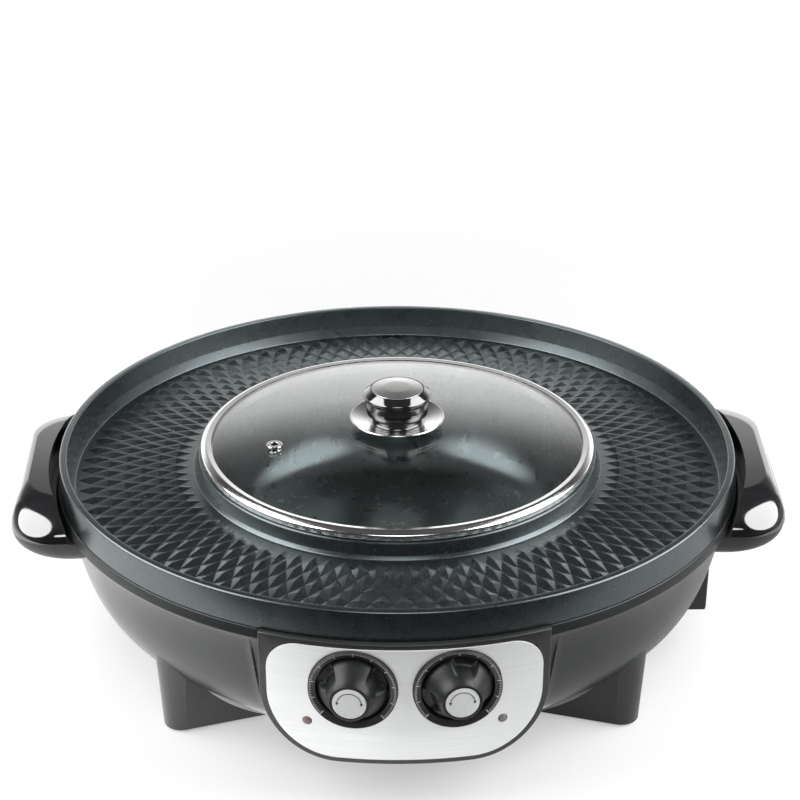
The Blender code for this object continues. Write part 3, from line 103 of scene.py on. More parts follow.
# Housing, with (radius, height) pairs for the bowl's and troughs' curves
HOUSING_WALL = 0.003
FLANGE_HEIGHT = 0.0052
FLANGE_FLARE = 0.0018
FLANGE_STEP = 0.0016
FLANGE_WIDTH = 0.0026
BOWL_TOP = BAND_LOW - GAP
BOWL_TOP_INSET = 0.0008
BOWL_SHOULDER = (0.2005, 0.0765)
BOWL_BELLY = (0.2055, 0.043)
BOWL_FOOT = (0.1745, 0.026)
BOWL_BASE_HEIGHT = 0.0215
BOWL_BASE_RADIUS = 0.169
BASE_OPENING = 0.14
LEG_CORNER = 0.1468
LEG_TIP_X = 0.077
LEG_TIP_Y = 0.125
LEG_CORNER_ROUND = 0.0111
LEG_HEIGHT = 0.068
LEG_SPLAY = 0.0035
LEG_BOTTOM = 0.0015
LEG_EDGE = 0.0011
TROUGH_TIP_RADIUS = 0.147
TROUGH_LOWER = (0.17, 0.012)
TROUGH_UPPER = (0.182, 0.03)
TROUGH_TOP = (0.19, 0.0475)
PAD_RADIUS = 0.0075
PAD_HEIGHT = 0.003
PAD_CIRCLE = 0.172
SCREW_CIRCLE = 0.156
BOSS_DEPTH = 0.032
POST_RADIUS = 0.0062
POST_BORE = 0.002
POST_CAP = 0.008
HEAD_ROOM = 0.0041
FOLD_TURN = radians(23.6)
FOLD_WIDTH = radians(0.36)
FOLD_RISE = 0.0011
FOLD_TOP = 0.096
FOLD_BOTTOM = 0.042
FOLD_FADE = 0.006
FOLD_CUTS = 10
FOLD_CLEARANCE = 1.3
CUP_ROOM = 0.0355
CUP_WINDOW_BACK = 0.173
CUP_WINDOW_LOW = 0.0615
CUP_WINDOW_HIGH = 0.0908

# Console and panel
CONSOLE_RADIUS = 0.215
CONSOLE_HALF_WIDTH = 0.079
CONSOLE_BOTTOM = 0.0304
CONSOLE_CORNER = 0.042
CONSOLE_BACK = 0.168
CONSOLE_WALL = 0.0025
CONSOLE_FRAME = 0.008
CONSOLE_ROUND = 0.001
PAN_CLEAR_RADIUS = 0.2086
PAN_CLEAR_DEPTH = 0.0255
PANEL_THICKNESS = 0.001
PANEL_TOP_MARGIN = 0.0028
PANEL_MARGIN = 0.0042
PANEL_TOP_CORNER = 0.018
PANEL_FACE = CONSOLE_RADIUS + GAP + PANEL_THICKNESS

# Dials, knobs and lamps; a tick is (inner radius, width)
DIAL_HEIGHT = 0.0797
DIAL_SPREAD = 0.0282
DIAL_RADIUS = 0.0242
DIAL_LIP = 0.0202
DIAL_RISE = 0.0016
DIAL_BEVEL = 0.0012
DIAL_SINK = 0.0053
DIAL_FLOOR = 0.0015
SHAFT_HOLE = 0.004
TICK_COUNT = 100
TICK_LONG_EVERY = 10
TICK_START = radians(222)
TICK_SPAN = radians(266)
TICK_OUTER = 0.0237
TICK_SHORT = (0.0225, 0.00026)
TICK_LONG = (0.0214, 0.00044)
PRINT_GAP = 0.00002
PRINT_THICKNESS = 0.00006
KNOB_RADIUS = 0.019
KNOB_FACE_RADIUS = 0.011
KNOB_SKIRT = 0.0035
KNOB_HEIGHT = 0.01875
KNOB_EDGE = 0.0007
KNOB_SHOULDER_SHARE = 0.45
KNOB_NECK_SHARE = 0.62
KNOB_RECESSES = 3
RECESS_RADIUS = 0.0146
RECESS_TOP_RADIUS = 0.0124
RECESS_TOP_SHARE = 0.8
RECESS_HALF_ANGLE = radians(27)
RECESS_SOFTNESS = radians(11)
KNOB_TURNS = {"left": radians(30), "right": radians(78)}
DISC_RADIUS = 0.0092
DISC_THICKNESS = 0.0012
DISC_CROWN = 0.00025
SHAFT_BORE = 0.0033
SHAFT_GRIP = 0.009
ARROW_RADIUS = 0.0066
ARROW_WIDTH = 0.00045
ARROW_START = radians(172)
ARROW_END = radians(8)
ARROW_HEAD = 0.0009
ARROW_SAG_SHARE = 0.4
DOME_SAG = 0.75
LAMP_SPREAD = 0.053
LAMP_HEIGHT = 0.0569
LAMP_RADIUS = 0.0024
LAMP_DEPTH = 0.004
LAMP_DOME = 0.0007

# Handles
HANDLE_TURN = radians(3.6)
HANDLE_PROTRUSION = 0.0249
HANDLE_HALF_LENGTH = 0.082
HANDLE_TOP = 0.007
HANDLE_PARTING = 0.024
HANDLE_BOTTOM = 0.0395
HANDLE_CORNER = 0.0285
HANDLE_ROUND = (0.009, 0.029)
HANDLE_UNDER_ROUND = (0.0165, 0.0134)
HANDLE_LIP = 0.0004
HANDLE_MOAT_WIDTH = 0.0054
HANDLE_EDGE = 0.0005
HANDLE_SHARP = radians(15)
HANDLE_CREASE = radians(74)
HANDLE_REACH = PAN_RADIUS + HANDLE_PROTRUSION
HANDLE_SCREW_INSET = 0.0115
HANDLE_SCREW_REACH = 0.048
HANDLE_BORE_DEPTH = 0.007

# Power inlet
INLET_Y = -0.032
INLET_HALF_WIDTH = 0.023
INLET_BACK = 0.168
INLET_FACE = 0.193
INLET_BOTTOM = 0.026
INLET_TOP = 0.057
INLET_MIDDLE = (INLET_TOP + INLET_BOTTOM) / 2
INLET_WALL = 0.003
INLET_MOUTH_DEPTH = 0.019
INLET_ROUND = 0.0016
CONNECTOR_THICKNESS = 0.003
PIN_RADIUS = 0.002
PIN_LENGTH = 0.009
PIN_SPREAD = 0.0095
EARTH_PIN_RISE = 0.005

# Lid
LID_RADIUS = 0.124
RING_INNER = 0.117
RING_CREST = 0.0014
RING_SHOULDER = 0.0034
RING_WALL = 0.0007
SKIRT_RADIUS = 0.116
SKIRT_DROP = 0.005
GLASS_THICKNESS = 0.003
GLASS_DEPTH = 0.0034
GLASS_RISE = 0.0112
GLASS_HOLE = 0.004
GLASS_EDGE = LID_RADIUS - 2 * RING_WALL - GAP
VENT_REACH = 0.0797
VENT_TURN = radians(196.8)
VENT_HOLE = 0.0025
VENT_RADIUS = 0.005
VENT_LIP = 0.001
VENT_SEAT = 0.0036
PLATE_RADIUS = 0.0297
PLATE_RISE = 0.0048
PLATE_THICKNESS = 0.001
PLATE_FLOOR = 0.0175
STEM_RADIUS = 0.0157
STEM_HEIGHT = 0.004
BODY_RADIUS = 0.0193
BODY_HEIGHT = 0.0105
NECK_RADIUS = 0.0186
NECK_HEIGHT = 0.0145
CROWN_RADIUS = 0.0211
CROWN_HEIGHT = 0.0185
KNOB_TOP_RADIUS = 0.0168
KNOB_TOP_HEIGHT = 0.0222
INSERT_RADIUS = 0.0162
INSERT_DEPTH = 0.0014
INSERT_DOME = 0.0012
LID_BORE = 0.0028
LID_BORE_DEPTH = 0.0083

# Finishes: how far bumps stand out, and grain in points per metre
RELIEF = 0.0002
FINE_RELIEF = 0.0001
COATING_RELIEF = 0.00012
COATING_GRAIN = 900
FLECK_SCALE = 2400
GLASS_GRAIN = 12
FLOOR_GRAIN = 3
BROAD_SHARE = 0.07
NOISE_SPAN = (0.3, 0.7)
FLECK_SPAN = (0.9, 0.97)

# Floor, sky and lights; a fade is a row of (position, brightness) stops
FLOOR_HALF = 8
FLOOR_SHOWN_WHITE = (0.4, 0.98)
FLOOR_SHOWN_SPAN = (0.3, 1.10)
# Painted light: the floor's glow seen in reflections is bright on the left and dark on the right
FLOOR_PAINTED_LEFT_LIGHT = (0.9, 0.05)
FLOOR_PAINTED_LEFT_LIGHT_SPAN = (-0.05, 0.16)
# Painted shade: where the floor turns dark in front of the picture, for all rays but the camera's
FLOOR_PAINTED_SHADE_SPAN = (-0.4, -0.29)
BACKDROP_Y = 0.3
BACKDROP_HEIGHT = 0.4
BACKDROP_WIDTH = 1.20
BACKDROP_POWER = 2.4
BACKDROP_FADE = ((0.0, 1.0), (0.54, 1.0), (0.64, 0.62), (0.74, 0.26), (0.86, 0.1), (1.0, 0.05))
SKY_UP = ((0.0, 0.5), (0.18, 0.3), (0.3, 0.14), (0.42, 0.07), (0.6, 0.06), (1.0, 0.1))
SKY_BACK = ((0.0, 0.1), (0.25, 0.35), (0.45, 1.0))

# Each lamp's name, place, target, (width, height) and power
LAMPS = (
    ("left_softbox", (-0.62, -0.12, 0.52), (-0.1, 0, 0.1), (0.86, 0.74), 10.5),
    ("right_softbox", (0.62, -0.12, 0.52), (0.1, 0, 0.1), (0.86, 0.74), 10.5),
    ("front_fill", (0, -1.4, 1.2), (0, 0, 0.1), (0.9, 0.5), 7),
)

# How finely shapes are cut
RIM_STEPS = 4 * COLUMNS
WELL_STEPS = 2 * COLUMNS
FACE_STEPS = 720
DIAL_STEPS = 120
SMALL_STEPS = 48
KNOB_STEPS = 240
CURVE_POINTS = 20
FILLET_POINTS = 6
SHARP_ANGLE = radians(32)

QUARTER = pi / 2
FULL_TURN = 2 * pi
SIDES = {"left": -1, "right": 1}
ORIGIN = Matrix.Identity(4)
UPRIGHT = Matrix.Rotation(QUARTER, 4, "X")
AXIS = Matrix.Translation((0, AXIS_Y, 0))
RIM = Matrix.Translation((0, AXIS_Y, RIM_HEIGHT))


# Shapes
def shares(count):
    """Equal steps from 0 to 1."""
    return [step / count for step in range(count + 1)]


def arc(centre, radius, start, end, count=CURVE_POINTS):
    """Points of an arc from one angle to another."""
    angles = [start + (end - start) * share for share in shares(count)]
    return [(centre[0] + radius * cos(angle), centre[1] + radius * sin(angle)) for angle in angles]


def bezier(*handles):
    """Points of a cubic curve with four handles."""
    a, b, c, d = (Vector(handle) for handle in handles)
    curve = []
    for t in shares(CURVE_POINTS):
        s = 1 - t
        curve.append(tuple(a * s**3 + b * (3 * s * s * t) + c * (3 * s * t * t) + d * t**3))
    return curve


def filleted(corners, closed=False):
    """Rounds the corners of an outline. Each corner is (x, y) or (x, y, radius)."""
    points = []
    last = len(corners) - 1
    for index, corner in enumerate(corners):
        here = Vector(corner[:2])
        radius = corner[2] if len(corner) > 2 else 0
        if not radius or (not closed and index in (0, last)):
            points.append(tuple(here))
            continue
        before = Vector(corners[index - 1][:2]) - here
        after = Vector(corners[(index + 1) % len(corners)][:2]) - here
        half = before.angle(after) / 2
        reach = min(radius / tan(half), before.length / 2, after.length / 2)
        start = here + before.normalized() * reach
        end = here + after.normalized() * reach
        for t in shares(FILLET_POINTS):
            points.append(tuple(start * (1 - t) ** 2 + here * (2 * t * (1 - t)) + end * t * t))
    return points


def resampled(points):
    """The same line, its points at equal distances."""
    places = [Vector(point) for point in points]
    lengths = [0]
    for first, second in zip(places, places[1:]):
        lengths.append(lengths[-1] + (second - first).length)
    line = []
    for part in shares(CURVE_POINTS):
        wanted = lengths[-1] * part
        index = max(i for i, length in enumerate(lengths[:-1]) if length <= wanted + GAP / 1000)
        share = (wanted - lengths[index]) / (lengths[index + 1] - lengths[index])
        line.append(tuple(places[index].lerp(places[index + 1], min(1, share))))
    return line


def around(radius, angle):
    """The (x, y) place at an angle on a circle."""
    return (radius * cos(angle), radius * sin(angle))


def at(radius, angle, z=0):
    """A shift to the place at an angle on a circle."""
    return Matrix.Translation((*around(radius, angle), z))


def circle(radius, z, count):
    """A ring of points about z, or one point on the axis."""
    if radius < GAP / 10:
        return [(0, 0, z)]
    return [(*around(radius, FULL_TURN * index / count), z) for index in range(count)]


def circles(profile, count):
    """A ring for each (radius, z) of a profile."""
    return [circle(radius, z, count) for radius, z in profile]


def numbered(rings):
    """All the rings' points, and each ring as point numbers."""
    points = []
    numbers = []
    for ring in rings:
        numbers.append(list(range(len(points), len(points) + len(ring))))
        points += ring
    return points, numbers


def bridge(faces, first, second):
    """Faces between two rings of point numbers. One may have fewer points."""
    if len(first) < len(second):
        first, second = second, first
    ratio = len(first) // len(second)
    for index, near in enumerate(second):
        after = second[(index + 1) % len(second)]
        if ratio == 1:
            faces.append((first[index], first[(index + 1) % len(first)], after, near))
            continue
        for step in range(ratio):
            here = ratio * index + step
            nearest = near if 2 * step < ratio else after
            faces.append((first[here], first[(here + 1) % len(first)], nearest))
        if near != after:
            middle = ratio * index + (ratio + 1) // 2
            faces.append((first[middle % len(first)], after, near))


def added(name, data):
    """A new object in the scene."""
    made = bpy.data.objects.new(name, data)
    bpy.context.scene.collection.objects.link(made)
    return made


def build(name, points, faces, place=ORIGIN):
    """A mesh object, its faces pointing out."""
    mesh = bpy.data.meshes.new(name)
    mesh.from_pydata(points, [], faces)
    bm = bmesh.new()
    bm.from_mesh(mesh)
    bmesh.ops.recalc_face_normals(bm, faces=bm.faces)
    bm.to_mesh(mesh)
    bm.free()
    mesh.shade_smooth()
    mesh.set_sharp_from_angle(angle=SHARP_ANGLE)
    made = added(name, mesh)
    made.matrix_world = place
    return made


def loft(name, rings, place=ORIGIN, loop=False):
    """A skin through rings of points, with capped ends or as a closed loop."""
    points, numbers = numbered(rings)
    faces = []
    for first, second in zip(numbers, numbers[1:] + (numbers[:1] if loop else [])):
        bridge(faces, first, second)
    if not loop:
        faces += [tuple(ring) for ring in (numbers[0], numbers[-1]) if len(ring) > 2]
    return build(name, points, faces, place)


def turned(name, profile, steps=SMALL_STEPS, place=ORIGIN):
    """A closed (radius, z) outline turned about z."""
    on_axis = profile[0][0] < GAP / 10 and profile[-1][0] < GAP / 10
    return loft(name, circles(profile, steps), place, not on_axis)


def prism(name, outline, low, high, place=ORIGIN):
    """An (x, y) outline pulled up from z = low to z = high."""
    return loft(name, [[(x, y, z) for x, y in outline] for z in (low, high)], place)


def rod(radius, low, high):
    """Outline of a plain round bar, to be turned."""
    return [(0, low), (radius, low), (radius, high), (0, high)]


def domed(radius, low, high, edge, crown, sag, softness):
    """Outline of a disc with a domed top, to be turned. The dome sags a little half way out."""
    return filleted([(0, low), (radius, low), (radius, high, edge), (radius / 2, high + crown * sag, softness),
                     (0, high + crown)])


def merged(name, pieces):
    """Joins separate shapes into one mesh and removes them."""
    bm = bmesh.new()
    for piece in pieces:
        copy = piece.data.copy()
        copy.transform(piece.matrix_world)
        bm.from_mesh(copy)
        bpy.data.objects.remove(piece)
    mesh = bpy.data.meshes.new(name)
    bm.to_mesh(mesh)
    bm.free()
    return added(name, mesh)


def settle(piece):
    """Makes a piece's modifiers part of its mesh."""
    bpy.context.view_layer.update()
    solid = piece.evaluated_get(bpy.context.evaluated_depsgraph_get())
    mesh = bpy.data.meshes.new_from_object(solid)
    piece.modifiers.clear()
    piece.data = mesh


def carve(piece, tools, operation="DIFFERENCE", sharp=SHARP_ANGLE):
    """Cuts, joins or trims a piece with tool shapes."""
    tool = merged("tools", tools)
    change = piece.modifiers.new(operation, "BOOLEAN")
    change.operation = operation
    change.object = tool
    change.solver = "EXACT"
    settle(piece)
    bpy.data.objects.remove(tool)
    piece.data.shade_smooth()
    piece.data.set_sharp_from_angle(angle=sharp)


def soften(piece, **settings):
    """Rounds some of a piece's edges."""
    change = piece.modifiers.new("edges", "BEVEL")
    for key, value in settings.items():
        setattr(change, key, value)
    settle(piece)


def turn_mesh(piece):
    """Moves a piece's turn into its mesh."""
    shift = Matrix.Translation(piece.matrix_world.translation)
    piece.data.transform(shift.inverted() @ piece.matrix_world)
    piece.matrix_world = shift


def fit(piece, body, node, slot, own_finish=None):
    """The piece stands for a CAD node and has its slot's finish or one of its own."""
    piece.data.materials.append(own_finish or finishes[slot])
    turn_mesh(piece)
    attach(piece, body)
    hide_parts(node)


def extra(name, parts, made_of, place, body):
    """Small parts as one added piece that moves with a body."""
    piece = merged(name, parts)
    piece.data.materials.append(made_of)
    piece.matrix_world = place
    turn_mesh(piece)
    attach(piece, body)


# Pan
def tray_z(radius):
    """Height of the grill floor, which falls outwards to its drain."""
    share = (TRAY_RADIUS - radius) / (TRAY_RADIUS - PATTERN_RADIUS)
    return RIM_HEIGHT - TRAY_DEPTH + TRAY_RISE * share


def diamond_rings():
    """The grill floor's points: in each row every second point is a raised tip."""
    rings = [circle(TRAY_RADIUS, tray_z(TRAY_RADIUS), WELL_STEPS)]
    for row in reversed(range(ROWS)):
        radius = PATTERN_RADIUS + FIRST_ROW + ROW_PITCH * row
        ring = circle(radius, tray_z(radius), WELL_STEPS)
        for index in range(row % 2, WELL_STEPS, 2):
            x, y, z = ring[index]
            ring[index] = (x, y, z + DIAMOND_HEIGHT)
        rings.append(ring)
    rings.append(circle(PATTERN_RADIUS, tray_z(PATTERN_RADIUS), WELL_STEPS))
    return rings


def diamond_faces(faces, rings):
    """The pyramids' triangles, each row turned by half a column."""
    for order, (outer, inner) in enumerate(zip(rings, rings[1:])):
        tip_parity = (ROWS - order) % 2
        for index in range(WELL_STEPS):
            after = (index + 1) % WELL_STEPS
            a, b, c, d = outer[index], outer[after], inner[after], inner[index]
            faces += [(a, b, d), (b, c, d)] if index % 2 == tip_parity else [(a, b, c), (a, c, d)]


def well_curve(outset, top):
    """The pot well's wall from mouth to floor, moved out by a wall thickness."""
    low = RIM_HEIGHT - WELL_DEPTH - outset
    upper = (WELL_RADIUS - WELL_DRAFT + outset, RIM_HEIGHT - (WELL_DEPTH + SEAT_DEPTH) * WELL_UPPER_SHARE)
    lower = (WELL_RADIUS - WELL_DRAFT * WELL_LOWER_DRAFTS + outset, low)
    return bezier((WELL_RADIUS + outset, top), upper, lower, (WELL_FLOOR_RADIUS, low))


def make_pan():
    """The pan in one piece: band, lip, grill floor, collar, well and underside."""
    band_top = PAN_RADIUS - BAND_TAPER
    lip_inner = band_top - LIP_WIDTH
    crease = lip_inner - RIM_WALL_DRAFT
    tray = RIM_HEIGHT - TRAY_DEPTH
    rim = filleted([
        (PAN_RADIUS - BAND_WALL, BAND_LOW), (PAN_RADIUS, BAND_LOW, LIP_ROUND / 3),
        (band_top, RIM_HEIGHT, LIP_ROUND), (lip_inner, RIM_HEIGHT, LIP_ROUND * 2 / 3),
        (crease, RIM_HEIGHT - RIM_WALL_HEIGHT, LIP_ROUND * 2),
        (TRAY_RADIUS + LIP_ROUND, tray, LIP_ROUND), (TRAY_RADIUS + LIP_ROUND / 4, tray),
    ])
    seat = RIM_HEIGHT - SEAT_DEPTH
    mouth = seat - COLLAR_ROUND * 2
    foot = tray_z(PATTERN_RADIUS)
    foot_radius = COLLAR_RADIUS + COLLAR_DRAFT
    collar = filleted([
        (PATTERN_RADIUS - LIP_ROUND / 4, foot), (foot_radius + COLLAR_ROUND, foot, COLLAR_ROUND),
        (foot_radius, RIM_HEIGHT - COLLAR_FOOT_DEPTH, COLLAR_ROUND), (COLLAR_RADIUS, seat, COLLAR_ROUND),
        (WELL_RADIUS, seat, COLLAR_ROUND), (WELL_RADIUS, mouth),
    ])
    rings = circles(rim, RIM_STEPS)
    pattern = diamond_rings()
    start = len(rings)
    end = start + len(pattern) - 1
    rings += pattern
    rings += circles(collar, RIM_STEPS)
    rings += circles(well_curve(0, mouth)[1:], WELL_STEPS)
    rings += circles([(0, RIM_HEIGHT - WELL_DEPTH), (0, RIM_HEIGHT - WELL_DEPTH - PAN_WALL)], WELL_STEPS)
    rings += circles(reversed(well_curve(PAN_WALL, foot - PAN_WALL)), WELL_STEPS)
    rings += circles([(TRAY_RADIUS, tray - PAN_WALL), (crease, tray - PAN_WALL / 2)], RIM_STEPS)
    points, numbers = numbered(rings)
    faces = []
    for index, (first, second) in enumerate(zip(numbers, numbers[1:] + numbers[:1])):
        if not start <= index < end and len(first) + len(second) > 2:
            bridge(faces, first, second)
    diamond_faces(faces, numbers[start:end + 1])
    pan = build("pan_casting", points, faces, AXIS)
    round_diamonds(pan, numbers[start][0], numbers[end][-1])
    place = AXIS @ at(SLOT_RADIUS, QUARTER)
    slot = prism("slot", slot_outline(), tray - PAN_WALL - OVERRUN, tray + OVERRUN, place)
    carve(pan, [slot], sharp=DIAMOND_SHARP)
    fit(pan, "base", "grill_pan", "nonstick")


def round_diamonds(pan, first_point, last_point):
    """Gives the pyramids' ridges a small flat edge."""
    bm = bmesh.new()
    bm.from_mesh(pan.data)
    weight = bm.edges.layers.float.new("bevel_weight_edge")
    for edge in bm.edges:
        in_pattern = all(first_point <= vert.index <= last_point for vert in edge.verts)
        if in_pattern and edge.calc_face_angle(0) > DIAMOND_SHARP:
            edge[weight] = 1
    bm.to_mesh(pan.data)
    bm.free()
    soften(pan, width=DIAMOND_EDGE, segments=1, limit_method="WEIGHT")


def slot_outline():
    """Outline of the drain slot, along x with round ends."""
    half = (SLOT_LENGTH - SLOT_WIDTH) / 2
    right_end = arc((half, 0), SLOT_WIDTH / 2, -QUARTER, QUARTER, FILLET_POINTS * 2)
    return right_end + arc((-half, 0), SLOT_WIDTH / 2, QUARTER, 3 * QUARTER, FILLET_POINTS * 2)


# Housing
def bowl_outline():
    """The bowl's outer wall from the rim's seat to the base."""
    low = BOWL_TOP - FLANGE_HEIGHT
    seat = PAN_RADIUS + GAP
    start = (seat - BOWL_TOP_INSET, low - FLANGE_STEP)
    flange = filleted([(seat - FLANGE_WIDTH, BOWL_TOP), (seat, BOWL_TOP, LEG_EDGE / 2),
                       (seat + FLANGE_FLARE, low, LEG_EDGE / 2), start])
    return flange + bezier(start, BOWL_SHOULDER, BOWL_BELLY, BOWL_FOOT)[1:]


def fold(angle, z):
    """How far the raised fold beside the console stands out of the bowl."""
    off = min(abs(angle - (3 * QUARTER + side * FOLD_TURN)) for side in SIDES.values())
    across = max(0, 1 - (off / FOLD_WIDTH) ** 2)
    along = min(1, max(0, (FOLD_TOP - z) / FOLD_FADE)) * min(1, max(0, (z - FOLD_BOTTOM) / FOLD_FADE))
    return FOLD_RISE * across**2 * sqrt(along)


def bowl_angles():
    """Directions round the bowl, closer together where its folds are."""
    angles = [FULL_TURN * index / RIM_STEPS for index in range(RIM_STEPS)]
    for side in SIDES.values():
        middle = 3 * QUARTER + side * FOLD_TURN
        angles = [angle for angle in angles if abs(angle - middle) > FOLD_WIDTH * FOLD_CLEARANCE]
        angles += [middle + FOLD_WIDTH * (2 * share - 1) for share in shares(FOLD_CUTS)]
    return sorted(angles)


def leg_outline(spread):
    """Plan of one leg: two outer walls with a round corner between them."""
    along_front = Vector((LEG_CORNER - LEG_TIP_X, LEG_CORNER - LEG_TIP_Y)).normalized()
    half_angle = atan2(along_front.x, along_front.y) - QUARTER / 2
    centre = LEG_CORNER - LEG_CORNER_ROUND / sin(half_angle) / sqrt(2)
    tip_normal = atan2(along_front.x, -along_front.y)
    corner = arc((centre, centre), LEG_CORNER_ROUND + spread, tip_normal, QUARTER - tip_normal)
    return [(LEG_TIP_X, LEG_TIP_Y + spread)] + corner + [(LEG_TIP_Y + spread, LEG_TIP_X)]


def make_leg(index):
    """One leg, widening upwards, with its hollow and its pad's pocket."""
    levels = ((0, LEG_BOTTOM), (LEG_SPLAY, LEG_HEIGHT))
    rings = [[(x, y, z) for x, y in leg_outline(spread)] for spread, z in levels]
    leg = loft(f"leg_{index}", rings, Matrix.Rotation(QUARTER * index, 4, "Z"))
    turn_mesh(leg)
    curve = bezier((TROUGH_TIP_RADIUS, 0), TROUGH_LOWER, TROUGH_UPPER, TROUGH_TOP)
    profile = [(0, -OVERRUN), (TROUGH_TIP_RADIUS, -OVERRUN)] + curve + [(0, TROUGH_TOP[1])]
    carve(leg, [turned("trough", profile, RIM_STEPS)])
    pocket = rod(PAD_RADIUS + GAP, -OVERRUN, PAD_HEIGHT + GAP)
    carve(leg, [turned("pocket", pocket, place=at(PAD_CIRCLE, QUARTER / 2 + QUARTER * index))])
    soften(leg, width=LEG_EDGE, segments=2, limit_method="ANGLE", angle_limit=SHARP_ANGLE,
           harden_normals=True)
    return leg


def front_outline(inset, high, high_corner=0):
    """Outline of console or panel, with points all along so that it can curve."""
    half_width = CONSOLE_HALF_WIDTH - inset
    low = CONSOLE_BOTTOM + inset
    corner = CONSOLE_CORNER - inset
    between = shares(CURVE_POINTS)[1:-1]
    outline = [((half_width - corner) * share, low) for share in between]
    outline += arc((half_width - corner, low + corner), corner, -QUARTER, 0)
    if high_corner:
        outline += arc((half_width - high_corner, high - high_corner), high_corner, 0, QUARTER)
    else:
        outline.append((half_width, high))
    outline += [((half_width - high_corner) * share, high) for share in reversed(between)]
    return outline + [(-x, height) for x, height in reversed(outline)]


def block(name, low, high):
    """A tool block between two corners."""
    outline = [(low[0], low[1]), (high[0], low[1]), (high[0], high[1]), (low[0], high[1])]
    return prism(name, outline, low[2], high[2])


def make_housing():
    """Bowl with its folds, legs, posts and openings, as one moulding."""
    outer = bowl_outline()
    inner = [(radius - HOUSING_WALL, z) for radius, z in reversed(outer[1 - CURVE_POINTS:])]
    floor = BOWL_BASE_HEIGHT + HOUSING_WALL
    base = [(BOWL_BASE_RADIUS, BOWL_BASE_HEIGHT), (BASE_OPENING, BOWL_BASE_HEIGHT), (BASE_OPENING, floor),
            (BOWL_BASE_RADIUS - HOUSING_WALL, floor)]
    angles = bowl_angles()
    rings = [[(*around(radius + fold(angle, z), angle), z) for angle in angles] for radius, z in outer]
    rings += [[(*around(radius, angle), z) for angle in angles] for radius, z in base + inner]
    rings.append([(x, y, BOWL_TOP - FLANGE_HEIGHT) for x, y, z in rings[0]])
    housing = loft("housing_shell", rings, loop=True)
    carve(housing, [make_leg(index) for index in range(4)], "UNION")
    cup_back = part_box("grease_cup")[1].y
    cutters = [
        prism("notch", front_outline(-GAP, BOWL_TOP + OVERRUN), CONSOLE_BACK - GAP, CONSOLE_RADIUS + OVERRUN,
              UPRIGHT),
        block("inlet_window", (INLET_BACK - GAP, INLET_Y - INLET_HALF_WIDTH - GAP, INLET_BOTTOM - GAP),
              (INLET_FACE + OVERRUN, INLET_Y + INLET_HALF_WIDTH + GAP, INLET_TOP + GAP)),
        block("cup_window", (-CUP_ROOM, CUP_WINDOW_BACK, CUP_WINDOW_LOW),
              (CUP_ROOM, cup_back, CUP_WINDOW_HIGH)),
    ]
    posts = []
    low = BOWL_BASE_HEIGHT + HOUSING_WALL / 2
    top = RIM_HEIGHT - BOSS_DEPTH - GAP
    mouth = rod((HEAD_ROOM + POST_RADIUS) / 2, -OVERRUN, low + HOUSING_WALL)
    post = [(HEAD_ROOM, low), (POST_RADIUS, low), (POST_RADIUS, top), (POST_BORE, top),
            (POST_BORE, top - POST_CAP), (HEAD_ROOM, top - POST_CAP)]
    for index in range(4):
        place = at(SCREW_CIRCLE, QUARTER * index)
        cutters.append(turned("mouth", mouth, place=place))
        posts.append(turned("post", post, place=place))
    carve(housing, cutters)
    carve(housing, posts, "UNION")
    housing.matrix_world = AXIS
    fit(housing, "base", "housing", "housing_plastic")


# Console and panel
def console_ring(inset, radius=0):
    """One ring of the console's frame, curved, or flat at its back."""
    outline = front_outline(inset, BOWL_TOP - inset)
    if radius:
        return [(x, -sqrt(radius * radius - x * x), z) for x, z in outline]
    return [(x, -CONSOLE_BACK, z) for x, z in outline]


def make_console():
    """Front frame behind the panel, and the curved panel with its openings."""
    rings = [console_ring(0)]
    for share in shares(3):
        sine = sin(QUARTER * share)
        cosine = cos(QUARTER * share)
        rings.append(console_ring(CONSOLE_ROUND * (1 - cosine), CONSOLE_RADIUS - CONSOLE_ROUND * (1 - sine)))
    inner = CONSOLE_RADIUS - CONSOLE_WALL
    rings += [console_ring(CONSOLE_FRAME, CONSOLE_RADIUS), console_ring(CONSOLE_FRAME, inner),
              console_ring(CONSOLE_WALL, inner), console_ring(CONSOLE_WALL)]
    console = loft("console_frame", rings, loop=True)
    pan_room = rod(PAN_CLEAR_RADIUS, RIM_HEIGHT - PAN_CLEAR_DEPTH, RIM_HEIGHT + OVERRUN)
    carve(console, [turned("pan_room", pan_room, FACE_STEPS)])

    high = BOWL_TOP - PANEL_TOP_MARGIN
    outline = front_outline(PANEL_MARGIN, high, PANEL_TOP_CORNER)
    panel = prism("panel_plate", outline, CONSOLE_BACK, CONSOLE_RADIUS + OVERRUN, UPRIGHT)
    sheet_low = CONSOLE_BOTTOM + PANEL_MARGIN - OVERRUN
    sheet_high = high + OVERRUN
    sheet = [(CONSOLE_RADIUS + GAP, sheet_low), (PANEL_FACE, sheet_low), (PANEL_FACE, sheet_high),
             (CONSOLE_RADIUS + GAP, sheet_high)]
    carve(panel, [turned("sheet", sheet, FACE_STEPS)], "INTERSECT")
    dial_hole = rod(DIAL_RADIUS + GAP, -DIAL_SINK * 3, OVERRUN * 2)
    lamp_hole = rod(LAMP_RADIUS + GAP, -LAMP_DEPTH * 2, OVERRUN)
    holes = []
    for side in SIDES:
        holes.append(turned("dial_hole", dial_hole, DIAL_STEPS, on_panel(side, DIAL_SPREAD, DIAL_HEIGHT)))
        holes.append(turned("lamp_hole", lamp_hole, place=on_panel(side, LAMP_SPREAD, LAMP_HEIGHT)))
    carve(panel, holes)
    for piece in (console, panel):
        piece.matrix_world = AXIS @ piece.matrix_world
    fit(console, "base", "console_shell", "console_plastic")
    fit(panel, "base", "control_panel", "panel_metal")


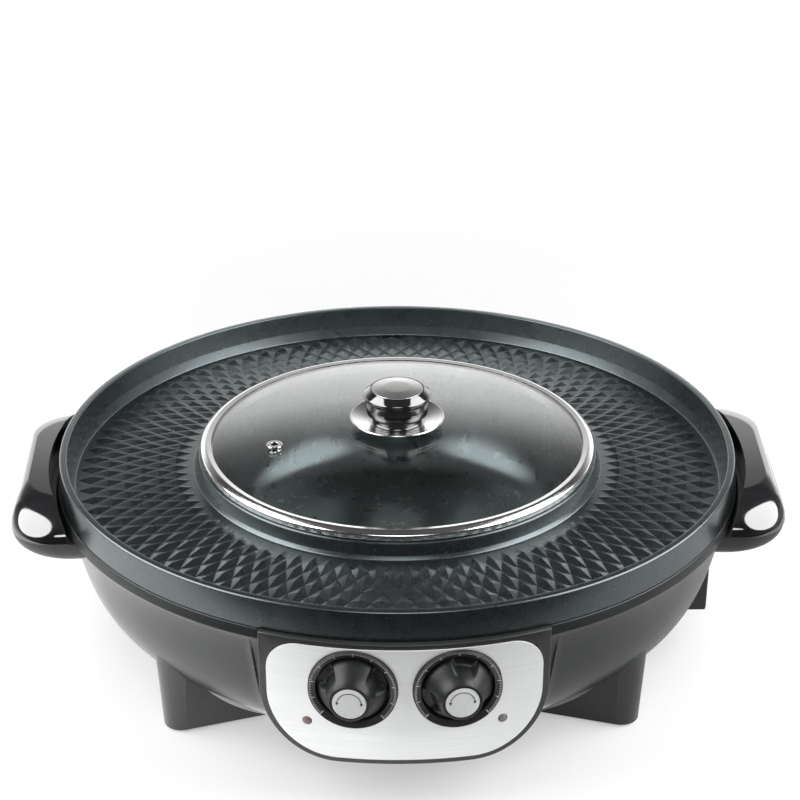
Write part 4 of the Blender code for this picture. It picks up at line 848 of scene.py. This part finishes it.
def on_panel(side, spread, height):
    """Place on the panel's face, with z outwards, before the shift to the pan's axis."""
    turn = asin(spread / PANEL_FACE) * SIDES[side]
    place = Matrix.Translation((spread * SIDES[side], -PANEL_FACE * cos(turn), height))
    return place @ Matrix.Rotation(turn, 4, "Z") @ UPRIGHT


# Dials, knobs and lamps
def ease(value):
    """A smooth step from 0 to 1."""
    value = min(1, max(0, value))
    return value * value * (3 - 2 * value)


def knob_rings(turn):
    """Rings of the knob's skin: between three lobes it steps in for the fingers."""
    top = (KNOB_FACE_RADIUS, KNOB_HEIGHT - KNOB_EDGE)
    lobe = bezier((KNOB_RADIUS, KNOB_SKIRT), (KNOB_RADIUS - KNOB_EDGE, KNOB_HEIGHT * KNOB_SHOULDER_SHARE),
                  (KNOB_FACE_RADIUS + KNOB_EDGE * 2, KNOB_HEIGHT * KNOB_NECK_SHARE), top)
    recess = filleted([(KNOB_RADIUS, KNOB_SKIRT), (RECESS_RADIUS, KNOB_SKIRT + KNOB_EDGE, KNOB_EDGE * 3),
                       (RECESS_TOP_RADIUS, KNOB_HEIGHT * RECESS_TOP_SHARE, KNOB_EDGE * 3), top])
    foot = [(0, SHAFT_GRIP), (SHAFT_BORE, SHAFT_GRIP), (SHAFT_BORE, 0), (KNOB_RADIUS - KNOB_EDGE / 2, 0),
            (KNOB_RADIUS, KNOB_EDGE / 2)]
    rings = circles(foot, KNOB_STEPS)
    pitch = FULL_TURN / KNOB_RECESSES
    for outer, inner in zip(lobe, resampled(recess)):
        ring = []
        for index in range(KNOB_STEPS):
            angle = FULL_TURN * index / KNOB_STEPS
            off = abs((angle - turn + pitch / 2) % pitch - pitch / 2)
            sunk = ease((RECESS_HALF_ANGLE - off) / RECESS_SOFTNESS)
            radius = outer[0] + (inner[0] - outer[0]) * sunk
            ring.append((*around(radius, angle), outer[1] + (inner[1] - outer[1]) * sunk))
        rings.append(ring)
    floor = KNOB_HEIGHT - DISC_THICKNESS
    face = filleted([
        (KNOB_FACE_RADIUS, KNOB_HEIGHT - KNOB_EDGE * 2), (KNOB_FACE_RADIUS, KNOB_HEIGHT, KNOB_EDGE),
        (DISC_RADIUS + GAP, KNOB_HEIGHT), (DISC_RADIUS + GAP, floor),
    ])
    return rings + circles(face[1:] + [(0, floor)], KNOB_STEPS)


def make_dial(side):
    """Dial ring with its scale, the knob, its pale disc with a turn mark, and the lamp."""
    place = AXIS @ on_panel(side, DIAL_SPREAD, DIAL_HEIGHT)
    edge = KNOB_EDGE / 2
    well = filleted([
        (SHAFT_HOLE, -DIAL_SINK - DIAL_FLOOR), (DIAL_RADIUS, -DIAL_SINK - DIAL_FLOOR, edge),
        (DIAL_RADIUS, DIAL_RISE, edge), (DIAL_LIP, DIAL_RISE - DIAL_BEVEL, edge),
        (DIAL_LIP, -DIAL_SINK, edge * 2), (SHAFT_HOLE, -DIAL_SINK),
    ])
    fit(turned(f"dial_ring_{side}", well, DIAL_STEPS, place), "base", f"dial_well_{side}", "console_plastic")
    ticks = [tick(index) for index in range(TICK_COUNT + 1)]
    extra(f"dial_scale_{side}", ticks, print_white, place, "base")

    body = f"knob_{side}"
    place = place @ Matrix.Translation((0, 0, GAP - DIAL_SINK))
    knob = loft(body, knob_rings(KNOB_TURNS[side]), place)
    fit(knob, body, f"control_knob_{side}", "gloss_plastic", knob_plastic)
    low = KNOB_HEIGHT - DISC_THICKNESS + GAP
    disc = domed(DISC_RADIUS, low, KNOB_HEIGHT, edge, DISC_CROWN, DOME_SAG, DISC_RADIUS / 4)
    fit(turned(f"disc_{side}", disc, DIAL_STEPS, place), body, f"knob_disc_{side}", "disc_finish")
    extra(f"turn_mark_{side}", arrow_parts(), print_black, place, body)

    lens = domed(LAMP_RADIUS, -LAMP_DEPTH, 0, LAMP_DOME, LAMP_DOME, 1, LAMP_RADIUS / 3)
    lamp_piece = turned(f"lamp_{side}", lens, place=AXIS @ on_panel(side, LAMP_SPREAD, LAMP_HEIGHT))
    fit(lamp_piece, "base", f"lamp_lens_{side}", "lamp_plastic", lens_finishes[side])


def tick(index):
    """One printed mark lying on the dial ring's sloping face, the tens longer and wider."""
    inner, width = TICK_SHORT if index % TICK_LONG_EVERY else TICK_LONG
    angle = TICK_START - TICK_SPAN * index / TICK_COUNT
    rings = []
    for lift in (PRINT_GAP, PRINT_GAP + PRINT_THICKNESS):
        ring = []
        for radius, across in ((inner, -width), (TICK_OUTER, -width), (TICK_OUTER, width), (inner, width)):
            x, y = around(radius, angle)
            slope = DIAL_RISE - DIAL_BEVEL * (DIAL_RADIUS - radius) / (DIAL_RADIUS - DIAL_LIP)
            ring.append((x - sin(angle) * across / 2, y + cos(angle) * across / 2, slope + lift))
        rings.append(ring)
    return loft("tick", rings)


def arrow_parts():
    """A plain arc with a small head at each end, printed on the knob's disc."""
    low = KNOB_HEIGHT + DISC_CROWN + PRINT_GAP - DISC_CROWN * ARROW_SAG_SHARE
    outline = arc((0, 0), ARROW_RADIUS + ARROW_WIDTH / 2, ARROW_START, ARROW_END)
    outline += arc((0, 0), ARROW_RADIUS - ARROW_WIDTH / 2, ARROW_END, ARROW_START)
    outlines = [outline]
    for angle, sign in ((ARROW_START, 1), (ARROW_END, -1)):
        tip = around(ARROW_RADIUS, angle + sign * ARROW_HEAD * 2 / ARROW_RADIUS)
        barbs = [around(ARROW_RADIUS + across, angle) for across in (-ARROW_HEAD, ARROW_HEAD)]
        outlines.append([tip] + barbs)
    return [prism("mark", outline, low, low + PRINT_THICKNESS) for outline in outlines]


# Handles
def handle_ring(rounds, drawn_in, inset, z):
    """One level of a handle: straight with round corners, its root inside the bowl."""
    side_round, end_round = rounds
    reach = HANDLE_REACH - inset - side_round * drawn_in
    half_length = HANDLE_HALF_LENGTH - inset - end_round * drawn_in
    corner = min(HANDLE_CORNER, half_length / 2)
    ring = [(BOWL_BASE_RADIUS, -half_length)]
    ring += arc((reach - corner, corner - half_length), corner, -QUARTER, 0)
    ring += arc((reach - corner, half_length - corner), corner, 0, QUARTER)
    ring.append((BOWL_BASE_RADIUS, half_length))
    return [(x, y, z) for x, y in ring]


def handle_shell(rounds, crease, inset, start, end):
    """Levels of a handle's shell, drawn in along an arc."""
    rings = []
    for share in shares(CURVE_POINTS):
        drawn_in = (1 - cos(crease * share)) / (1 - cos(crease))
        z = start + (end - start) * sin(crease * share) / sin(crease)
        rings.append(handle_ring(rounds, drawn_in, inset, z))
    return rings


def make_handle(side):
    """Glossy upper shell, cut free of the pan, and the satin lower shell against the bowl."""
    turn = -HANDLE_TURN if side == "right" else pi + HANDLE_TURN
    place = AXIS @ Matrix.Rotation(turn, 4, "Z")
    parting = RIM_HEIGHT - HANDLE_PARTING
    high = RIM_HEIGHT - HANDLE_TOP
    low = RIM_HEIGHT - HANDLE_BOTTOM
    rings = handle_shell(HANDLE_ROUND, HANDLE_CREASE, 0, parting, high)
    rings.append(handle_ring(HANDLE_ROUND, 1, HANDLE_EDGE, high))
    top = loft(f"grip_{side}", rings, place)
    moat = rod(PAN_RADIUS + HANDLE_MOAT_WIDTH, parting - OVERRUN, high + OVERRUN)
    carve(top, [turned("moat", moat, FACE_STEPS, place)], sharp=HANDLE_SHARP)
    soften(top, width=HANDLE_EDGE, segments=3, limit_method="ANGLE", angle_limit=QUARTER / 2,
           harden_normals=True)
    fit(top, "base", f"handle_top_{side}", "gloss_plastic")

    rings = handle_shell(HANDLE_UNDER_ROUND, QUARTER, HANDLE_LIP, parting - GAP, low - GAP)
    under = loft(f"under_grip_{side}", rings, place)
    wall = [(radius + GAP, z) for radius, z in reversed(bowl_outline())]
    tools = [turned("bowl", [(0, wall[0][1])] + wall + [(0, wall[-1][1])], FACE_STEPS, place)]
    for reach in (-HANDLE_SCREW_REACH, HANDLE_SCREW_REACH):
        bore_place = place @ Matrix.Translation((HANDLE_REACH - HANDLE_SCREW_INSET, reach, low))
        tools.append(turned("bore", rod(HEAD_ROOM, -OVERRUN, HANDLE_BORE_DEPTH), place=bore_place))
    carve(under, tools)
    fit(under, "base", f"handle_base_{side}", "matt_plastic")


# Power inlet
def inlet_ring(inset, depth):
    """A rectangle with round corners, upright at a distance from the axis."""
    half_width = INLET_HALF_WIDTH - inset - INLET_ROUND
    half_height = INLET_TOP - INLET_MIDDLE - inset - INLET_ROUND
    outline = []
    for index, (sign_y, sign_z) in enumerate(((1, 1), (-1, 1), (-1, -1), (1, -1))):
        centre = (half_width * sign_y, half_height * sign_z)
        outline += arc(centre, INLET_ROUND, QUARTER * index, QUARTER * (index + 1), FILLET_POINTS)
    return [(depth, INLET_Y + across, INLET_MIDDLE + up) for across, up in outline]


def make_inlet():
    """Shroud at the right of the bowl, and the plate with its pins in its mouth."""
    edge = INLET_ROUND
    mouth = INLET_FACE - INLET_MOUTH_DEPTH
    levels = ((0, INLET_BACK), (0, INLET_FACE - edge / 2), (edge / 2, INLET_FACE),
              (INLET_WALL - edge / 3, INLET_FACE), (INLET_WALL, INLET_FACE - edge / 3), (INLET_WALL, mouth))
    shroud = loft("inlet_block", [inlet_ring(*level) for level in levels], AXIS)
    fit(shroud, "base", "inlet_shroud", "matt_plastic")

    depths = (mouth + GAP, mouth + GAP + CONNECTOR_THICKNESS)
    connector = loft("connector_plate", [inlet_ring(INLET_WALL + GAP, depth) for depth in depths], AXIS)
    fit(connector, "base", "inlet_connector", "thermostat_finish")
    low = CONNECTOR_THICKNESS + GAP * 2
    high = low + PIN_LENGTH
    pin = filleted([(0, low), (PIN_RADIUS, low), (PIN_RADIUS, high, PIN_RADIUS / 2), (0, high)])
    pins = []
    for spread, rise in ((-PIN_SPREAD, 0), (PIN_SPREAD, 0), (0, EARTH_PIN_RISE)):
        place = Matrix.Translation((mouth, INLET_Y + spread, INLET_MIDDLE + rise))
        pins.append(turned("pin", pin, place=place @ Matrix.Rotation(QUARTER, 4, "Y")))
    extra("inlet_pins", pins, finishes["steel"], AXIS, "base")


# Lid
def dome_z(reach):
    """Height of the glass's upper face at a distance from the axis."""
    span = LID_RADIUS - 2 * RING_WALL
    radius = (span * span + GLASS_RISE * GLASS_RISE) / (2 * GLASS_RISE)
    return sqrt(radius * radius - reach * reach) - radius + GLASS_RISE - GLASS_DEPTH


def make_lid():
    """Glass dome in its rolled ring, with vent, saucer, knob and insert."""
    reaches = [GLASS_HOLE + (GLASS_EDGE - GLASS_HOLE) * share for share in shares(CURVE_POINTS)]
    upper = [(reach, dome_z(reach)) for reach in reaches]
    lower = [(reach, z - GLASS_THICKNESS) for reach, z in reversed(upper)]
    glass = turned("dome", upper + lower, WELL_STEPS, RIM)
    vent_place = RIM @ at(VENT_REACH, VENT_TURN, dome_z(VENT_REACH))
    hole = rod(VENT_SEAT + GAP, -GLASS_THICKNESS * 2, GLASS_THICKNESS)
    carve(glass, [turned("hole", hole, place=vent_place)])
    fit(glass, "lid", "lid_glass", "lid_glass_finish")

    edge = GLASS_EDGE + GAP
    edge_high = dome_z(GLASS_EDGE) + GAP
    edge_low = dome_z(GLASS_EDGE) - GLASS_THICKNESS - GAP
    low = GAP - SEAT_DEPTH
    wall = RING_WALL
    ring = filleted([
        (SKIRT_RADIUS, low - SKIRT_DROP), (SKIRT_RADIUS + wall, low - SKIRT_DROP), (SKIRT_RADIUS + wall, low),
        (LID_RADIUS, low, wall), (LID_RADIUS, -RING_SHOULDER, wall * 3),
        ((LID_RADIUS + RING_INNER) / 2, -RING_CREST, wall * 4), (RING_INNER, -RING_CREST - wall, wall / 2),
        (RING_INNER, dome_z(RING_INNER) + GAP), (edge, edge_high), (edge, edge_low), (SKIRT_RADIUS, edge_low),
    ], closed=True)
    fit(turned("rolled_ring", ring, RIM_STEPS, RIM), "lid", "lid_ring", "steel")

    low = -GLASS_THICKNESS - VENT_LIP
    high = GAP * 3
    vent = filleted([
        (VENT_HOLE, low), (VENT_SEAT, low), (VENT_SEAT, high), (VENT_RADIUS, high),
        (VENT_RADIUS, high + VENT_LIP, VENT_LIP), (VENT_HOLE, high + VENT_LIP, VENT_LIP / 2),
    ], closed=True)
    fit(turned("vent", vent, place=vent_place), "lid", "lid_vent", "steel")

    low = dome_z(GLASS_HOLE) + GAP
    wall = PLATE_THICKNESS
    saucer = filleted([
        (GLASS_HOLE, low), (PLATE_FLOOR, low, wall * 6), (PLATE_RADIUS, low + PLATE_RISE - wall, wall / 2),
        (PLATE_RADIUS - wall / 2, low + PLATE_RISE, wall / 2), (PLATE_FLOOR, low + wall, wall * 6),
        (GLASS_HOLE, low + wall),
    ], closed=True)
    fit(turned("saucer", saucer, DIAL_STEPS, RIM), "lid", "lid_plate", "steel", spun_steel)

    place = RIM @ Matrix.Translation((0, 0, low + wall + GAP))
    top = KNOB_TOP_HEIGHT
    floor = top - INSERT_DEPTH
    edge = STEM_HEIGHT / 4
    knob = filleted([
        (0, LID_BORE_DEPTH), (LID_BORE, LID_BORE_DEPTH), (LID_BORE, 0), (STEM_RADIUS, 0, GAP),
        (STEM_RADIUS, STEM_HEIGHT, STEM_HEIGHT / 3), (BODY_RADIUS, STEM_HEIGHT * 3 / 2, STEM_HEIGHT / 3),
        (BODY_RADIUS, BODY_HEIGHT, edge * 2), (NECK_RADIUS, NECK_HEIGHT, edge),
        (CROWN_RADIUS, (CROWN_HEIGHT + NECK_HEIGHT) / 2, edge * 2), (CROWN_RADIUS, CROWN_HEIGHT, edge * 2),
        (KNOB_TOP_RADIUS, top, edge), (INSERT_RADIUS + GAP, top), (INSERT_RADIUS + GAP, floor), (0, floor),
    ])
    fit(turned("lid_grip", knob, DIAL_STEPS, place), "lid", "lid_knob", "gloss_plastic")
    low = floor + GAP
    insert = domed(INSERT_RADIUS, low, top, GAP * 2, INSERT_DOME, DOME_SAG, INSERT_RADIUS / 3)
    fit(turned("insert", insert, DIAL_STEPS, place), "lid", "lid_knob_disc", "steel", satin_steel)


# Finishes
class Nodes:
    """The node tree of a material, light or world."""

    def __init__(self, owner, shader="Principled BSDF"):
        owner.use_nodes = True
        self.owner = owner
        self.tree = owner.node_tree
        self.shader = self.tree.nodes[shader]

    def node(self, kind, inputs=None, **settings):
        """The outputs of a new node, with some of its inputs linked or set."""
        made = self.tree.nodes.new("ShaderNode" + kind)
        for key, value in settings.items():
            setattr(made, key, value)
        for key, source in (inputs or {}).items():
            self.plug(source, made.inputs[key])
        return made.outputs

    def plug(self, source, socket):
        """Links a source to a socket or sets its value."""
        if isinstance(source, bpy.types.NodeSocket):
            self.tree.links.new(source, socket)
        else:
            socket.default_value = (*source, 1) if isinstance(source, tuple) else source

    def feed(self, **sources):
        """Sets or links the shader's own inputs."""
        for name, source in sources.items():
            self.plug(source, self.shader.inputs[name.replace("_", " ")])

    def place(self, stretch=(1, 1, 1)):
        """Object coordinates, stretched."""
        coords = self.node("TexCoord")["Object"]
        return self.node("Mapping", {"Vector": coords, "Scale": Vector(stretch)})["Vector"]

    def length(self, vector):
        return self.node("VectorMath", {0: vector}, operation="LENGTH")["Value"]

    def split(self, vector):
        return self.node("SeparateXYZ", {"Vector": vector})

    def noise(self, place, scale, detail=2):
        return self.node("TexNoise", {"Vector": place, "Scale": scale, "Detail": detail})["Fac"]

    def ranged(self, source, reach=(0, 1), span=NOISE_SPAN):
        """Stretches a span of values to another reach."""
        ends = dict(zip(("From Min", "From Max", "To Min", "To Max"), (*span, *reach)))
        return self.node("MapRange", {"Value": source, **ends})["Result"]

    def mixed(self, factor, first, second, **settings):
        sources = {"Factor": factor, "A": first, "B": second}
        return self.node("Mix", sources, data_type="RGBA", **settings)["Result"]

    def math(self, operation, first, second):
        return self.node("Math", {0: first, 1: second}, operation=operation)["Value"]

    def ramp(self, source, stops):
        """Brightness along a value, through (position, brightness) stops."""
        made = self.tree.nodes.new("ShaderNodeValToRGB")
        self.plug(source, made.inputs["Fac"])
        elements = made.color_ramp.elements
        elements.remove(elements[1])
        for index, (position, value) in enumerate(stops):
            element = elements.new(position) if index else elements[0]
            element.position = position
            element.color = (value, value, value, 1)
        return made.outputs["Color"]

    def bump(self, height, strength, distance):
        made = self.node("Bump", {"Height": height, "Strength": strength, "Distance": distance})
        self.feed(Normal=made["Normal"])


def finish(name, dark, light, rough, grain, stretch=(1, 1, 1), bump=(0.1, RELIEF), spun=False, **sockets):
    """A finish with uneven colour and roughness. rough is (low, high), grain in points per metre."""
    nodes = Nodes(bpy.data.materials.new(name))
    place = nodes.length(nodes.place((1, 1, 0))) if spun else nodes.place(stretch)
    fine = nodes.noise(place, grain)
    nodes.feed(Base_Color=nodes.mixed(nodes.ranged(fine), dark, light),
               Roughness=nodes.ranged(nodes.noise(place, grain * BROAD_SHARE), rough), **sockets)
    nodes.bump(fine, *bump)
    return nodes.owner


def nonstick_finish():
    """Matt black coating: fine grain, scattered bright flecks and a pebbled surface."""
    nodes = Nodes(bpy.data.materials.new("nonstick_coating"))
    place = nodes.place()
    grain = nodes.noise(place, COATING_GRAIN, 3)
    cells = nodes.node("TexVoronoi", {"Vector": place, "Scale": FLECK_SCALE})
    fleck = nodes.ranged(nodes.split(cells["Color"])["X"], span=FLECK_SPAN)
    base = nodes.mixed(nodes.ranged(grain), (0.002, 0.002, 0.003), (0.004, 0.005, 0.005))
    nodes.feed(Base_Color=nodes.mixed(fleck, base, (0.04, 0.045, 0.047)),
               Roughness=nodes.ranged(nodes.noise(place, COATING_GRAIN / 8), (0.26, 0.32)),
               IOR=1.62, Specular_IOR_Level=0.9, Specular_Tint=(0.84, 0.97, 1.0))
    nodes.bump(grain, 0.22, COATING_RELIEF)
    return nodes.owner


def glass_finish():
    """Clear tempered glass, faintly green, with the slightest unevenness."""
    nodes = Nodes(bpy.data.materials.new("tempered_glass"))
    soft = nodes.noise(nodes.place(), GLASS_GRAIN)
    nodes.feed(Base_Color=nodes.mixed(nodes.ranged(soft), (0.93, 0.96, 0.955), (0.95, 0.97, 0.965)),
               Roughness=nodes.ranged(soft, (0, 0.012)), Transmission_Weight=1, IOR=1.5)
    nodes.bump(soft, 0.02, RELIEF)
    return nodes.owner


lens_finishes = {
    "left": finish("lens_left", (0.2, 0.13, 0.12), (0.28, 0.19, 0.18), (0.2, 0.28), 700),
    "right": finish("lens_right", (0.17, 0.15, 0.14), (0.23, 0.2, 0.19), (0.2, 0.28), 700),
}
# The finish of each slot
finishes = {
    "nonstick": nonstick_finish(),
    "housing_plastic": finish("housing_moulding", (0.011, 0.012, 0.013), (0.015, 0.016, 0.017),
                              (0.27, 0.34), 300),
    "console_plastic": finish("console_moulding", (0.018, 0.019, 0.019), (0.024, 0.025, 0.025),
                              (0.3, 0.38), 400),
    "gloss_plastic": finish("polished_black", (0.006, 0.006, 0.007), (0.009, 0.009, 0.01), (0.06, 0.1), 200,
                            bump=(0.02, RELIEF), IOR=1.7, Specular_IOR_Level=0.9),
    "matt_plastic": finish("satin_black", (0.014, 0.015, 0.016), (0.019, 0.02, 0.021), (0.38, 0.46), 500),
    "panel_metal": finish("brushed_panel", (0.83, 0.84, 0.84), (0.88, 0.89, 0.89), (0.3, 0.4), 900,
                          stretch=(0.02, 0.02, 1), bump=(0.04, FINE_RELIEF), Metallic=0.45),
    "disc_finish": finish("pale_disc", (0.8, 0.81, 0.81), (0.85, 0.86, 0.86), (0.3, 0.36), 500),
    "lamp_plastic": lens_finishes["left"],
    "steel": finish("polished_steel", (0.64, 0.64, 0.63), (0.7, 0.7, 0.69), (0.1, 0.16), 60, Metallic=1),
    "thermostat_finish": finish("ceramic", (0.42, 0.38, 0.31), (0.5, 0.46, 0.38), (0.55, 0.65), 600),
    "rubber": finish("foot_rubber", (0.012, 0.012, 0.012), (0.02, 0.02, 0.02), (0.75, 0.85), 900),
    "lid_glass_finish": glass_finish(),
}
knob_plastic = finish("knob_black", (0.008, 0.009, 0.009), (0.012, 0.013, 0.013), (0.38, 0.44), 900,
                      Specular_IOR_Level=0.35)
print_white = finish("scale_print", (0.78, 0.78, 0.77), (0.86, 0.86, 0.85), (0.45, 0.55), 900)
print_black = finish("arrow_print", (0.02, 0.02, 0.02), (0.03, 0.03, 0.03), (0.45, 0.55), 900)
spun_steel = finish("spun_steel", (0.6, 0.6, 0.59), (0.72, 0.72, 0.71), (0.16, 0.24), 2600,
                    bump=(0.05, FINE_RELIEF), spun=True, Metallic=1)
satin_steel = finish("satin_steel", (0.56, 0.56, 0.55), (0.64, 0.64, 0.63), (0.3, 0.36), 1500, Metallic=1)

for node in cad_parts.values():
    for index, slot in enumerate(node.data.materials):
        node.data.materials[index] = finishes[slot.name.split(".")[0]]

make_pan()
make_housing()
make_console()
for side_name in SIDES:
    make_dial(side_name)
    make_handle(side_name)
make_inlet()
make_lid()


# Floor, light and camera
def floor_finish():
    """White floor with a white of its own for camera, glass and metal. In front of the picture it is painted
    dark as shade, and in reflections its left side glows as painted light.
    """
    nodes = Nodes(bpy.data.materials.new("white_floor"))
    soft = nodes.noise(nodes.place(), FLOOR_GRAIN)
    spot = nodes.node("TexCoord")["Object"]
    sides = nodes.split(spot)
    ray = nodes.node("LightPath")
    # Painted shade: in front of the picture the floor is dark and has no glow, except to the camera
    lit = nodes.math("MAXIMUM", nodes.ranged(sides["Y"], span=FLOOR_PAINTED_SHADE_SPAN), ray["Is Camera Ray"])
    white = nodes.mixed(nodes.ranged(soft), (0.4, 0.4, 0.4), (0.42, 0.42, 0.42))
    straight = nodes.math("MAXIMUM", ray["Is Camera Ray"], ray["Is Transmission Ray"])
    shown = nodes.ranged(nodes.length(spot), FLOOR_SHOWN_WHITE, FLOOR_SHOWN_SPAN)
    # Painted light: in reflections the floor glows brightly on its left side and hardly at all on its right
    painted_left_light = nodes.ranged(sides["X"], FLOOR_PAINTED_LEFT_LIGHT, FLOOR_PAINTED_LEFT_LIGHT_SPAN)
    own = nodes.math("MAXIMUM", nodes.math("MULTIPLY", straight, shown),
                     nodes.math("MULTIPLY", ray["Is Glossy Ray"], painted_left_light))
    nodes.feed(Base_Color=nodes.mixed(lit, (0.02, 0.02, 0.02), white),
               Roughness=nodes.ranged(soft, (0.7, 0.76)), Specular_IOR_Level=0.1,
               Emission_Color=(1, 1, 1), Emission_Strength=nodes.math("MULTIPLY", own, lit))
    return nodes.owner


def lamp(name, place, target, size, power, shape="ELLIPSE"):
    """A soft light that looks at a point."""
    made = added(name, bpy.data.lights.new(name, "AREA"))
    made.data.shape = shape
    made.data.size, made.data.size_y = size
    made.data.energy = power
    made.location = place
    made.rotation_euler = (Vector(target) - Vector(place)).to_track_quat("-Z", "Y").to_euler()
    return made


def make_backdrop():
    """A bright screen behind the object that fades upwards, seen only in reflections."""
    middle = BACKDROP_HEIGHT / 2
    made = lamp("backdrop", (0, BACKDROP_Y, middle), (0, 0, middle), (BACKDROP_WIDTH, BACKDROP_HEIGHT),
                BACKDROP_POWER, "RECTANGLE")
    made.visible_camera = False
    nodes = Nodes(made.data, "Emission")
    height = nodes.split(nodes.node("NewGeometry")["Position"])["Z"]
    nodes.feed(Color=nodes.ramp(nodes.ranged(height, span=(0, BACKDROP_HEIGHT)), BACKDROP_FADE))


def make_world():
    """A studio, darker overhead and behind the camera, and white to the camera itself."""
    world = bpy.data.worlds.new("studio")
    bpy.context.scene.world = world
    nodes = Nodes(world, "Background")
    sides = nodes.split(nodes.node("TexCoord")["Generated"])
    back = nodes.ramp(nodes.ranged(sides["Y"], span=(-1, 1)), SKY_BACK)
    sky = nodes.mixed(1, nodes.ramp(sides["Z"], SKY_UP), back, blend_type="MULTIPLY")
    nodes.feed(Color=nodes.mixed(nodes.node("LightPath")["Is Camera Ray"], sky, (1, 1, 1)))


half = FLOOR_HALF
floor = build("floor", [(-half, -half, 0), (half, -half, 0), (half, half, 0), (-half, half, 0)], [(0, 1, 2, 3)])
floor.data.materials.append(floor_finish())
make_world()
make_backdrop()
for settings in LAMPS:
    lamp(*settings)

camera = added("camera", bpy.data.cameras.new("camera"))
camera.data.lens = CAMERA_LENS
camera.data.sensor_width = CAMERA_SENSOR
camera.data.sensor_fit = "HORIZONTAL"
turn = Matrix((CAMERA_RIGHT, CAMERA_UP, CAMERA_BACK)).transposed().to_4x4()
camera.matrix_world = Matrix.Translation(CAMERA_PLACE) @ turn
bpy.context.scene.camera = camera
bpy.context.scene.view_settings.view_transform = "Standard"
